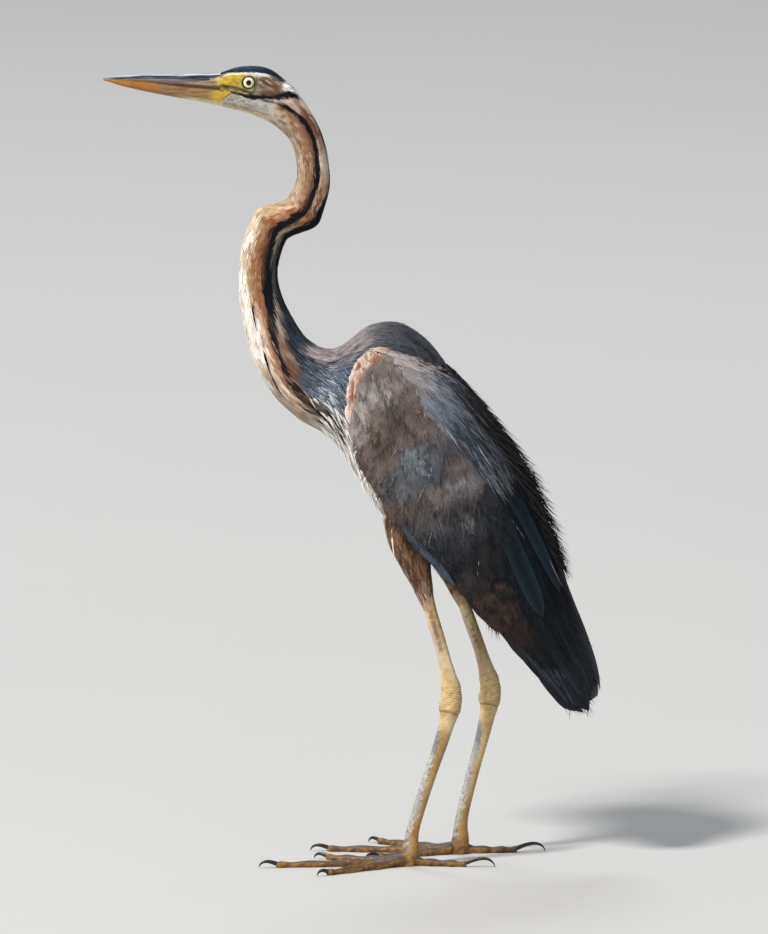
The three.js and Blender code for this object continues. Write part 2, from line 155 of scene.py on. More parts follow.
LEGS = {
    "left": {"side": 1, "knee": [27, 48.8, 327.5], "ankle": [31, 91.1, 157.5], "foot": [35, 51.5, 5.6]},
    "right": {"side": -1, "knee": [-27, 75.3, 321.3], "ankle": [-31, 127.0, 155.5], "foot": [-35, 98.5, 5.6]},
}
# Toes: angle from straight ahead, outwards positive, in degrees, and the length without its claw.
TOES = {
    "middle": {"turn": 6, "length": 122, "claw": 19},
    "outer": {"turn": 38, "length": 94, "claw": 15},
    "inner": {"turn": -24, "length": 82, "claw": 16},
    "hind": {"turn": 172, "length": 54, "claw": 30},
}
TOE_RADIUS = 3.7
TOE_TIP_RADIUS = 2.9
TOE_REST = 0.8
CLAW_RADIUS = 2.1
# A toe's joints as shares of its length, thick and thin by turns.
TOE_JOINTS = [0, 0.12, 0.26, 0.42, 0.58, 0.74, 0.88, 0.97, 1]
SCUTE_LENGTH = 3.1
TOE_SCUTE_LENGTH = 2.7
WRINKLE_LENGTH = 1.7


# ---------------------------------------------------------------- colours
def hue(colour):
    """A linear colour from six hex digits, and any other colour as it is."""
    if not isinstance(colour, str):
        return colour
    s = np.array([int(colour[i : i + 2], 16) for i in (0, 2, 4)]) / 255
    return np.where(s <= 0.04045, s / 12.92, ((s + 0.055) / 1.055) ** 2.4)


INK = hue("0d1017")  # glossy blue-black
# The crown's black, tinted blue as a painted sheen.
CROWN = hue("0a2036")
SOOT = hue("1b1b20")
SLATE = hue("394250")
BLUE_GREY = hue("65717f")
PALE_BLUE = hue("a3aebb")
DARK_BACK = hue("1c1e24")
CHESTNUT = hue("7a4a33")
BUFF = hue("cba57e")
CREAM = hue("eadcc6")
UMBER = hue("4a2f24")
COVERT = hue("5c5350")
COVERT_PALE = hue("8d827e")
COVERT_DARK = hue("302d2e")
FLIGHT = hue("0b121b")


def mix(a, b, share):
    """Colour a turned into colour b by a share from 0 to 1."""
    share = np.clip(np.asarray(share, float), 0, 1)[..., None]
    return np.asarray(hue(a)) * (1 - share) + np.asarray(hue(b)) * share


def layered(tone, *layers):
    """A tone under layers of (colour, share), each over the one before."""
    for colour, share in layers:
        tone = mix(tone, colour, share)
    return tone


def smooth(value, low, high):
    """0 up to low, rising to 1 at high."""
    t = np.clip((np.asarray(value, float) - low) / (high - low), 0, 1)
    return t * t * (3 - 2 * t)


def fade(value, low, high):
    """1 up to low, falling to 0 at high."""
    return 1 - smooth(value, low, high)


def band(value, start, full, fall, end):
    """0 before start, 1 from full to fall, and 0 past end."""
    return smooth(value, start, full) * fade(value, fall, end)


def near(value, middle, reach):
    """1 at middle, falling to 0 at reach away from it."""
    return fade(np.abs(value - middle), 0.35 * reach, reach)


def mottle(points, size, seed):
    """Smooth noise from about -1 to 1 over points in millimetres, with patches of about that size."""
    own = np.random.default_rng(seed)
    total = np.zeros(points.shape[:-1])
    waves = 9
    for _ in range(waves):
        way = own.normal(size=3)
        way *= 2 * math.pi / (size * own.uniform(1.6, 3.2) * np.linalg.norm(way))
        total += np.sin(points @ way + own.uniform(0, 2 * math.pi))
    return total / math.sqrt(waves / 2) / 1.4


# ---------------------------------------------------------------- surfaces
def sample(rows, place):
    """The numbers at places along rows of stations, on Catmull-Rom curves."""
    rows = np.asarray(rows, float)
    place = np.clip(place, 0, len(rows) - 1)
    i = np.clip(np.floor(place).astype(int), 0, len(rows) - 2)
    f = (place - i)[..., None]
    ends = np.vstack([2 * rows[0] - rows[1], rows, 2 * rows[-1] - rows[-2]])
    a, b, c, d = (ends[i + k] for k in range(4))
    square = (2 * a - 5 * b + 4 * c - d) * f**2
    cube = (3 * b - a - 3 * c + d) * f**3
    return 0.5 * (2 * b + (c - a) * f + square + cube)


def keyed(keys, place):
    """A number that follows straight lines between (place, number) keys."""
    places, numbers = zip(*keys)
    return np.interp(place, places, numbers)


def full_turn(count, start=-math.pi):
    """Angles at even steps once round."""
    return np.linspace(start, start + 2 * math.pi, count, endpoint=False)


def lattice(along, across):
    """Every pair of a place along and a place across, as two grids."""
    return np.meshgrid(along, across, indexing="ij")


def turned(angle):
    """How far an angle is from the back, in degrees, on either side."""
    return np.degrees(np.abs(angle))


def squared(value):
    """A round section's sine or cosine, made a little squarer."""
    return np.sign(value) * np.abs(value) ** (1 / 1.1)


def unit(vectors):
    """Vectors of length 1 that point the same way."""
    return vectors / np.maximum(np.linalg.norm(vectors, axis=-1, keepdims=True), 1e-9)


def chords(rows):
    """The surface through sections that run from the back to the front. Across is an angle from the
    back, positive on the bird's left."""

    def at(place, angle):
        row = sample(rows, place)
        keel = row[..., 5] if row.shape[-1] > 5 else 0
        middle = (row[..., 0:2] + row[..., 2:4]) / 2
        half = (row[..., 0:2] - row[..., 2:4]) / 2
        narrow = 1 - keel * (1 - np.cos(angle)) / 2
        x = row[..., 4] * narrow * squared(np.sin(angle))
        return np.concatenate([x[..., None], middle + half * squared(np.cos(angle))[..., None]], -1)

    return at


def tube(rows, across=(1, 0, 0)):
    """The surface round a track of [x, y, z, half depth, half width]."""
    last = len(rows) - 1

    def at(place, angle):
        row = sample(rows, place)
        step = 0.02
        ahead = sample(rows, np.minimum(place + step, last)) - sample(rows, np.maximum(place - step, 0))
        tangent = unit(ahead[..., 0:3])
        level = np.broadcast_to(np.asarray(across, float), tangent.shape)
        side = unit(level - tangent * (level * tangent).sum(-1, keepdims=True))
        back = np.cross(side, tangent)
        deep = row[..., 3] * squared(np.cos(angle))
        wide = row[..., 4] * squared(np.sin(angle))
        return row[..., 0:3] + back * deep[..., None] + side * wide[..., None]

    return at


def wing_at(side):
    """A folded wing's outer side: across runs from 0 at the upper edge to 1 at the lower one."""

    def at(place, across):
        row = sample(WING, place)
        across = np.clip(across, 0.004, 0.996)
        edge = np.where(across < 0.5, row[..., 4], row[..., 6])
        x = side * (edge + (row[..., 5] - edge) * np.sin(math.pi * across) ** 0.7)
        yz = row[..., 0:2] + (row[..., 2:4] - row[..., 0:2]) * across[..., None]
        return np.concatenate([x[..., None], yz], -1)

    return at


class Surface:
    """Reads points and directions on a surface. facing is -1 where along and across run the other way
    round."""

    def __init__(self, at, last, facing=1, across=AROUND):
        self.at = at
        self.last = last
        self.facing = facing
        self.across = across

    def frame(self, along, across):
        """The point, the unit directions along, across and out, and the lengths of a step of 1."""
        step = 0.01
        inside = np.clip(along, step, self.last - step)
        ahead = (self.at(inside + step, across) - self.at(inside - step, across)) / (2 * step)
        aside = (self.at(inside, across + step) - self.at(inside, across - step)) / (2 * step)
        out = unit(np.cross(aside, ahead)) * self.facing
        point = self.at(inside, across) + ahead * (along - inside)[..., None]
        pace = np.linalg.norm(ahead, axis=-1), np.linalg.norm(aside, axis=-1)
        return point, unit(ahead), unit(aside), out, pace

    def unwrap(self, along, across):
        """The place's own spot on a flat map of the surface, from 0 to 1 each way."""
        low, high = self.across
        return np.stack([(across - low) / (high - low), along / self.last], -1) * 0.94 + 0.03


def bone(rows, top, bottom):
    """Stations for tube() along a bone, from its top joint to its bottom one."""
    top, bottom = np.array(top, float), np.array(bottom, float)
    back = unit(np.cross([1, 0, 0], bottom - top))
    return [[*(top + (bottom - top) * share + back * bow), deep, wide] for share, bow, deep, wide in rows]


def leg_rows(leg):
    """One track for the bare leg, from under the thigh's feathers to the foot."""
    shank = bone(SHANK, leg["knee"], leg["ankle"])
    return shank[5:] + bone(TARSUS, leg["ankle"], leg["foot"])


def aim(surface, roots, way):
    """The turn from straight along that sends feathers from their roots in a direction in space."""
    _, ahead, aside, _, _ = surface.frame(*roots)
    skew = (ahead * aside).sum(-1)
    along, over = (ahead * way).sum(-1), (aside * way).sum(-1)
    return np.arctan2(over - skew * along, along - skew * over)


def away(points, line):
    """The distance, seen from the side, to a line of (y, z) points."""
    spot = points[..., 1:3]
    best = np.full(points.shape[:-1], 1e9)
    for a, b in zip(np.array(line[:-1], float), np.array(line[1:], float)):
        share = np.clip(((spot - a) * (b - a)).sum(-1) / ((b - a) ** 2).sum(), 0, 1)
        best = np.minimum(best, np.linalg.norm(spot - a - share[..., None] * (b - a), axis=-1))
    return best


body = Surface(chords(BODY), len(BODY) - 1)
wings = {
    name: Surface(wing_at(leg["side"]), len(WING) - 1, leg["side"], (0, 1)) for name, leg in LEGS.items()
}
tail = Surface(chords(TAIL), len(TAIL) - 1)
thighs = {
    name: Surface(tube(bone(SHANK, leg["knee"], leg["ankle"])), FEATHERED_TO) for name, leg in LEGS.items()
}


def run_along(line):
    """The distance along a line of points from its start."""
    return np.concatenate([[0], np.cumsum(np.linalg.norm(np.diff(line, axis=0), axis=1))])


def middle_line(rows, places):
    """The line halfway between the two edges of rows of stations, seen from the side."""
    row = sample(rows, places)
    return (row[:, 0:2] + row[:, 2:4]) / 2


RUN_PLACES = np.linspace(0, len(BODY) - 1, 600)
BODY_RUN = run_along(middle_line(BODY, RUN_PLACES))
WING_PLACES = np.linspace(0, len(WING) - 1, 400)
WING_RUN = run_along(middle_line(WING, WING_PLACES))
COAT_DEPTH = [
    (0, 0.3), (0.9, 0.9), (2, 1.4), (3.3, 2), (7, 2.4), (12, 3), (16, 4.5), (20, 6), (24, 5), (26, 3)
]


# ---------------------------------------------------------------- markings
# The black stripe down the side of the neck: (place, degrees from the back), and its half width in mm.
STRIPE = [
    (2.7, 88), (3.2, 82), (3.6, 76), (4.1, 69), (4.6, 67), (5.1, 68), (5.5, 71), (5.9, 78), (6.3, 83),
    (6.8, 86), (7.6, 91), (8.0, 90), (8.8, 80), (9.6, 71), (11.0, 70), (12.0, 72), (12.4, 82), (12.9, 90),
    (13.4, 94), (14.0, 97), (14.7, 102), (15.3, 110), (15.9, 117), (16.4, 129), (17.4, 142),
]
STRIPE_WIDTH = [
    (2.7, 1.6), (3.2, 2.4), (4.0, 2.7), (5.0, 2.7), (6.0, 2.8), (7.0, 2.8), (8.2, 2.7), (9.0, 3.4),
    (10.0, 3.6), (11.0, 4.5), (12.0, 4.7), (12.5, 3.9), (13.0, 2.8), (13.5, 1.7), (14.0, 1.4),
    (14.7, 1.3), (15.3, 1.8), (16, 2.0), (18, 1),
]
# Where the pale front of the neck starts, in degrees from the back.
PALE_FROM = [
    (2.8, 96), (3.5, 102), (4.5, 120), (6, 120), (7.5, 106), (8.5, 110), (9.5, 119), (11.4, 121),
    (12.0, 112), (12.4, 103), (13, 106), (13.6, 113), (14.3, 119), (16, 112),
]
# How far the black line down the back of the neck reaches from the middle, in degrees.
NAPE_REACH = [
    (2.4, 14), (3.0, 3), (4.8, 3), (5.6, 12), (6.0, 22), (6.4, 32), (7.0, 46), (7.6, 62), (8.2, 63),
    (8.8, 52), (9.5, 46), (10, 44), (11, 32), (13, 14),
]
# Where the slate of the shoulders gives way to the streaked front of the neck, in degrees from the back.
SLATE_EDGE = [
    (11.4, 36), (12.4, 57), (12.9, 68), (13.3, 74), (14.1, 82), (15.1, 90), (15.6, 99), (16.4, 109),
    (17.4, 117), (18.5, 134), (20, 150),
]
# The plumage behind the stripe, by place on the neck.
BEHIND = [
    (2.8, "cdbcb0"), (3.4, "a48779"), (4.0, "835d4c"), (4.8, "7f5643"), (5.2, "bca591"), (5.6, "d6c9b8"),
    (6.0, "b0835f"), (6.5, "8f6042"), (7.0, "74503c"), (7.6, "a87a56"), (8.2, "9c7252"), (8.8, "a8927b"),
    (10.0, "615c54"), (12.2, "55524e"), (12.7, "8d7f71"), (13.1, "745646"), (14.0, "684c3d"),
    (15.2, "744e3a"), (16.0, "63493b"),
]
# Lines on the head as (y, z), seen from the side.
CROWN_EDGE = [
    (-126, 725.5), (-121, 728.6), (-117, 731), (-111, 731.9), (-95, 732.6), (-86, 732.2), (-76, 731.4),
    (-69, 727), (-62, 722),
]
FACE_TOP = [
    (-126, 722), (-122, 726), (-116, 730), (-111, 731.2), (-100, 731.4), (-94, 731), (-89, 727),
    (-87, 722),
]
FACE_BOTTOM = [
    (-126, 719), (-112, 715.4), (-104, 712.9), (-95.5, 710.8), (-92.6, 712.8), (-90.4, 716), (-88, 721.5),
    (-87, 723),
]
MOUTH = [(-126, 719.6), (-118, 719.2), (-104, 717.2), (-97, 715.2), (-91, 712.4)]
MOUTH_WIDTH = [(-126, 2.3), (-118, 2.2), (-109, 1.8), (-100, 1.5), (-91, 1.3)]
UNDER_EYE = [
    (-114, 715.8), (-104, 712.7), (-94, 710.2), (-82, 710.4), (-69, 710.8), (-63, 712.6), (-57, 713.2),
    (-50, 709.5),
]
UNDER_EYE_WIDTH = [
    (-114, 0.4), (-104, 0.7), (-97, 1.7), (-92, 1.8), (-82, 1.1), (-71, 1.2), (-65, 2.4), (-60, 2.9),
    (-53, 1.5),
]
CHIN_START = (-118.9, 706.5)  # where the chin's feathers start, and how far back that moves with height
CHIN_LEAN = 1.08
THROAT_TOP = [(-122, 717), (-114, 714), (-104, 712), (-94, 709.5), (-82, 709.8), (-72, 709.6), (-64, 708)]
JAW = [(-119, 703.6), (-100, 699.8), (-82, 694.5), (-66, 688)]
MAROON_LINE = [(-84, 707.7), (-75.4, 706.2), (-66.2, 703.9), (-61, 700.6)]


def from_eye(points):
    """The distance from the middle of the eye, seen from the side."""
    return np.hypot(points[..., 1] - EYE["y"], points[..., 2] - EYE["z"])


def line_mask(points, line, half_width):
    """1 on a line drawn over the head's side, 0 away from it."""
    y, z = points[..., 1], points[..., 2]
    half = keyed(half_width, y) if isinstance(half_width, list) else half_width
    on = fade(np.abs(z - keyed(line, y)), half * 0.6, half * 1.4)
    return on * smooth(y, line[0][0] - 1, line[0][0] + 1) * fade(y, line[-1][0] - 2, line[-1][0] + 2)


def is_bare(points):
    """1 on the bare skin of the face and the corner of the mouth."""
    y, z = points[..., 1], points[..., 2]
    lore = smooth(z - keyed(FACE_BOTTOM, y), -0.5, 0.5) * fade(z - keyed(FACE_TOP, y), -0.5, 0.5)
    lore = lore * fade(y, -88, -86.6)
    corner = smooth(CHIN_START[0] + (z - CHIN_START[1]) * CHIN_LEAN - y, -0.4, 0.6)
    corner = corner * fade(z - keyed(FACE_BOTTOM, y), -0.2, 0.6) * smooth(z, 703.5, 705)
    return np.maximum(lore, corner)


def face_colour(points):
    """Bare skin: bright yellow lores with olive folds, greener round the eye, and the dark mouth line."""
    y, z = points[..., 1], points[..., 2]
    folds = mottle(points * [0.5, 1, 1.6], 2.6, 31)
    skin = mix("c6a51c", "a28a1c", 0.5 + 0.5 * folds)
    skin = layered(
        skin,
        ("6b6322", near(y, -107, 6) * near(z, 719.5, 5.5) * (0.5 + 0.35 * folds)),
        ("9b9320", smooth(y, -104, -99) * 0.75),
        ("77731f", near(from_eye(points), 8.2, 3.2) * smooth(724 - z, 0, 5) * 0.7),
        ("7d7c40", smooth(y, -99, -92) * smooth(717.5 - z, 0, 4) * 0.75),
        ("a19a80", smooth(y, -90.5, -88) * 0.8),
        ("ede3a8", line_mask(points, FACE_TOP[2:6], 1.0) * 0.85),
        ("8b8a2c", smooth(keyed(MOUTH, y) - z, 0.6, 1.4) * smooth(y, -112, -108) * 0.6),
        ("b59523", smooth(keyed(MOUTH, y) - z, 1, 2) * fade(y, -114, -110) * 0.8),
        ("2b1a14", line_mask(points, MOUTH, MOUTH_WIDTH) * 0.92),
    )
    return mix(skin, "15120f", line_mask(points, UNDER_EYE, UNDER_EYE_WIDTH) * 0.95)


def body_streaks(place, angle, long, wide, seed):
    """Noise in streaks along the body, of that length and width in millimetres."""
    row = sample(BODY, place)
    radius = (np.hypot(row[..., 0] - row[..., 2], row[..., 1] - row[..., 3]) / 2 + row[..., 4]) / 2
    squeeze = long / wide
    run = np.interp(place, RUN_PLACES, BODY_RUN)
    spots = [radius * np.cos(angle) * squeeze, radius * np.sin(angle) * squeeze, run]
    return mottle(np.stack(spots, -1), long, seed)


def head_colour(place, angle):
    """The skin's and the plumage's colour at places on the head, without the bare face."""
    point = body.at(place, angle)
    y, z = point[..., 1], point[..., 2]
    fine = body_streaks(place, angle, 5, 1.6, 3)
    broad = mottle(point, 7, 4)
    grain = mottle(point, 2.4, 5)
    tone = mix(mix("684d3d", "4d372d", 0.5 + 0.5 * broad), "ab8f7e", 0.15 + 0.35 * fine)
    tone = layered(
        tone,
        ("bdaea2", smooth(grain + 0.5 * fine, 0.5, 1.1) * 0.55),
        ("8d8d86", near(y, -87, 4) * 0.6),
        ("b7a795", smooth(z, 726, 730) * 0.5),
    )
    # Chin and throat: white above, painted grey as shade under the head, a brown speckled jaw line, cream
    # below.
    under = keyed(THROAT_TOP, y)
    throat = mix("a5a39b", "c6c4bb", 0.4 + 0.4 * broad + 0.3 * fine)
    throat = mix(throat, "8d7a66", smooth(grain, 0.55, 1.0) * 0.35)
    jaw = line_mask(point, JAW, 1.2)
    throat = mix(throat, mix(BUFF, UMBER, 0.3), jaw * np.clip(0.35 + 0.5 * fine, 0, 1))
    throat = mix(throat, mix(CREAM, BUFF, 0.3 + 0.3 * fine), fade(z - keyed(JAW, y), -2, 0.5))
    tone = mix(tone, throat, smooth(under - z, -0.8, 1.2))
    tone = mix(tone, "d9cec3", smooth(y, -80, -70) * smooth(under - z, -0.8, 1.2) * 0.8)
    maroon = line_mask(point, MAROON_LINE, 1.2) * smooth(y, -86, -80)
    tone = mix(tone, mix("4f2e2b", "8a6a60", 0.3 + 0.35 * fine), maroon * 0.9)
    # White brow under the crown, and pale down on the nape above the black line.
    brow = line_mask(point, [(a, b - 1.4) for a, b in CROWN_EDGE[2:7]], 1.5)
    tone = mix(tone, "e6e6e0", brow * 0.9)
    nape = smooth(y, -67, -61) * smooth(z - keyed(UNDER_EYE, y), 1.5, 3.5)
    tone = mix(tone, mix("e6e3df", "b79a82", 0.2 + 0.5 * fine), nape)
    tone = mix(tone, INK, line_mask(point, UNDER_EYE, UNDER_EYE_WIDTH) * 0.97)
    crown = smooth(z - keyed(CROWN_EDGE, y) + 0.25 * fine, -0.3, 0.5) * fade(y, -69, -64)
    return mix(tone, CROWN, crown)


def body_colour(place, angle):
    """The plumage's colour at places on the body, before the feathers' own light and dark."""
    point = body.at(place, angle)
    y, z = point[..., 1], point[..., 2]
    turn = turned(angle)
    girth = np.linalg.norm(body.at(place, angle + 0.02) - body.at(place, angle - 0.02), axis=-1) / 0.04
    mm_per_degree = np.maximum(girth, 5) * DEGREE
    fine, broad = body_streaks(place, angle, 22, 2.6, 1), body_streaks(place, angle, 50, 9, 2)

    # Neck: umber beside the stripe, tan sides, and a cream front with pale and brown flecks.
    stripe_at = keyed(STRIPE, place)
    from_stripe = (turn - stripe_at) * mm_per_degree
    flecks, grain = body_streaks(place, angle, 8, 4.5, 6), mottle(point, 2.6, 7)
    pale_from = keyed(PALE_FROM, place) + 4 * fine + 5 * flecks
    share = (turn - stripe_at) / (pale_from - stripe_at) + 0.1 * fine + 0.1 * broad
    umber_to = 0.3 + 0.25 * near(place, 10.8, 2.2)
    neck = mix("4d3426", "7e5a42", smooth(share / umber_to, 0.0, 1.0))
    neck = layered(
        neck,
        ("9c775a", smooth(share, 0.25, 0.65)),
        ("b59475", smooth(share + 0.15 * flecks, 0.7, 1.0)),
        ("a8602f", near(place, 8.2, 1.6) * smooth(flecks + 0.5 * fine, -0.6, 0.4) * 0.85),
        ("95603a", near(place, 11.2, 2.1) * band(share, 0.1, 0.4, 0.6, 0.9) * 0.6),
    )
    front = mix(mix("a98f75", "c6b49e", 0.5 + 0.5 * flecks), "cfbfae", smooth(place, 3.4, 2.6))
    front = mix(front, mix("b89873", "d8c3a2", 0.5 + 0.5 * flecks), smooth(place, 6.2, 7.4))
    white = near(place, 12.9, 1.6)
    lower = mix("cfb898", "f6f2ec", smooth(flecks + 0.4 * fine + 0.5 * white, -0.6, 0.1))
    lower = mix(lower, "927c66", smooth(place + 0.5 * fine, 14.2, 15.2) * 0.6)
    front = mix(front, lower, smooth(place, 8.8, 10.6))
    neck = mix(neck, front, smooth(turn, pale_from, pale_from + 9) * 0.94)
    above_kink = fade(place, 9, 11)
    neck = mix(neck, "6b4c38", smooth(grain + 0.5 * flecks, 0.35, 0.9) * (0.22 + 0.33 * above_kink))
    neck = mix(neck, "d9c5ac", smooth(-grain + 0.5 * flecks, 0.3, 1.1) * smooth(share, 0.2, 0.8) * 0.45)
    neck = neck * (1 - 0.13 * fade(place, 6.2, 7.6))[..., None]
    rusty = smooth(fine + 0.5 * broad, 0.45, 1.1) * smooth(place, 13, 14.5)
    neck = mix(neck, "8a6a50", rusty * 0.6)
    dusky = smooth(fine - 0.4 * broad, 0.4, 0.9) * smooth(place, 13.8, 15) * fade(turn, 136, 152)
    neck = mix(neck, "2c2320", dusky * 0.9)

    # Behind the stripe: streaked, pale and rufous by turns.
    behind = np.stack([keyed([(s, hue(tone)[k]) for s, tone in BEHIND], place) for k in range(3)], -1)
    behind = mix(behind, "e6dbd0", near(place, 3.7, 1.3) * fade(turn + 8 * fine, 22, 36) * 0.7)
    below_kink = smooth(place, 8.6, 9.6)
    behind = mix(behind, "5a3d2e", smooth(fine + 0.6 * grain, 0.3, 0.9) * (0.5 - 0.3 * below_kink))
    behind = mix(behind, "e2d6c8", smooth(-fine + 0.6 * grain, 0.35, 0.9) * (0.42 - 0.3 * below_kink))
    line = near(turn, keyed([(9, 58), (10, 55), (12.1, 54), (12.8, 74)], place), 5)
    line = line * below_kink * fade(place, 12.6, 13.2)
    behind = mix(behind, "a0978a", line * 0.75)
    neck = mix(neck, behind, smooth(-from_stripe, -0.5, 1.5))

    # Shoulders and back.
    slate = mix("151c23", "303c48", 0.4 + 0.45 * fine)
    paler = smooth(place + 0.6 * smooth(turn, 60, 90), 15.0, 16.8)
    slate = mix(slate, mix("303a46", "5c6876", 0.42 + 0.45 * fine), paler)
    # Painted highlight: pale mauve grey along the top of the mantle, where light from the sky falls on it.
    top = smooth(62 + 8 * fine - turn, 0, 22) * smooth(place, 13.4, 14.6)
    slate = layered(
        slate,
        (mix("75696c", "b0a4a1", 0.5 + 0.45 * fine), top * (1 - 0.5 * smooth(place, 17.4, 18.4))),
        (mix(DARK_BACK, SLATE, 0.35 + 0.35 * fine), smooth(place + 0.4 * fine, 17.6, 18.9) * 0.88),
        (INK, smooth(place, 21.5, 23.5) * 0.6),
    )
    edge = keyed(SLATE_EDGE, place)
    neck = mix(neck, slate, smooth(edge - turn + 7 * fine, -4, 5) * smooth(place, 10.6, 12.2))

    # Belly: black down the middle, chestnut flanks, and white along its upper edge.
    belly = mix(CHESTNUT, SOOT, smooth(turn + 6 * fine, 146, 160))
    neck = mix(neck, belly, smooth(place, 20.6, 22) * smooth(turn, 100, 120))
    neck = mix(neck, mix(SLATE, SOOT, 0.5), smooth(place, 24, 25) * 0.8)
    white = band(place, 16.2, 17.2, 19.8, 20.6) * smooth(turn + 6 * fine, 116, 130)
    neck = mix(neck, mix("c9bfb2", "f2efe9", 0.6 + 0.4 * fine), white * 0.9)

    # Black stripes.
    nape = fade(turn + 4 * fine, keyed(NAPE_REACH, place) * 0.85, keyed(NAPE_REACH, place) * 1.1)
    neck = mix(neck, INK, nape * band(place, 2.2, 2.6, 12.5, 14))
    width = keyed(STRIPE_WIDTH, place) * (1 + 0.3 * fine)
    stripe = fade(np.abs(from_stripe), width * 0.75, width * 1.2)
    stripe *= smooth(place, 2.5, 2.9) * (1 - 0.3 * smooth(place, 14, 15.5))
    stripe *= np.clip(1.2 + 0.5 * fine, 0.6, 1)
    neck = mix(neck, INK, stripe)

    # The head, its pale nape, and the black wedge that ends the line under the eye.
    tone = mix(head_colour(place, angle), neck, smooth(place + 0.5 * smooth(turn, 50, 110), 2.75, 3.3))
    above = z - keyed(UNDER_EYE, y)
    nape = smooth(y + 0.8 * fine, -65, -60) * smooth(above, 1.5, 3.5) * fade(y, -46, -42) * (turn > 12)
    tone = mix(tone, mix("f0eeec", "b39a86", 0.05 + 0.45 * fine), nape * fade(place, 3.4, 3.8))
    wedge = line_mask(point, UNDER_EYE, UNDER_EYE_WIDTH) * smooth(y, -80, -76) * (place < 4.2)
    return mix(tone, INK, wedge * 0.97)


def wing_streaks(place, across, long, wide, seed):
    """Noise in streaks along a wing."""
    row = sample(WING, place)
    chord = np.hypot(row[..., 0] - row[..., 2], row[..., 1] - row[..., 3])
    run = np.interp(place, WING_PLACES, WING_RUN)
    return mottle(np.stack([chord * across * long / wide, run, 0 * run], -1), long, seed)


SHOULDER_EDGE = [(-5.2, 418), (-5.8, 426), (-4.4, 450), (2.5, 471), (13.5, 480.5), (20, 482.5)]
CLEFT = [
    (0, 0.0), (2.2, 0.09), (2.9, 0.2), (3.3, 0.26), (3.8, 0.3), (4.8, 0.31), (5.7, 0.29), (7, 0.3),
    (12, 0.3),
]


def hanging_streaks(points, long, wide, seed):
    """Noise in streaks on the wing, the way its soft feathers hang."""
    y, z = points[..., 1], points[..., 2]
    lean = 0.28 * (z - 420) * smooth(450 - z, 0, 60)
    return mottle(np.stack([(y - lean) * long / wide, z, 0 * z], -1), long, seed)


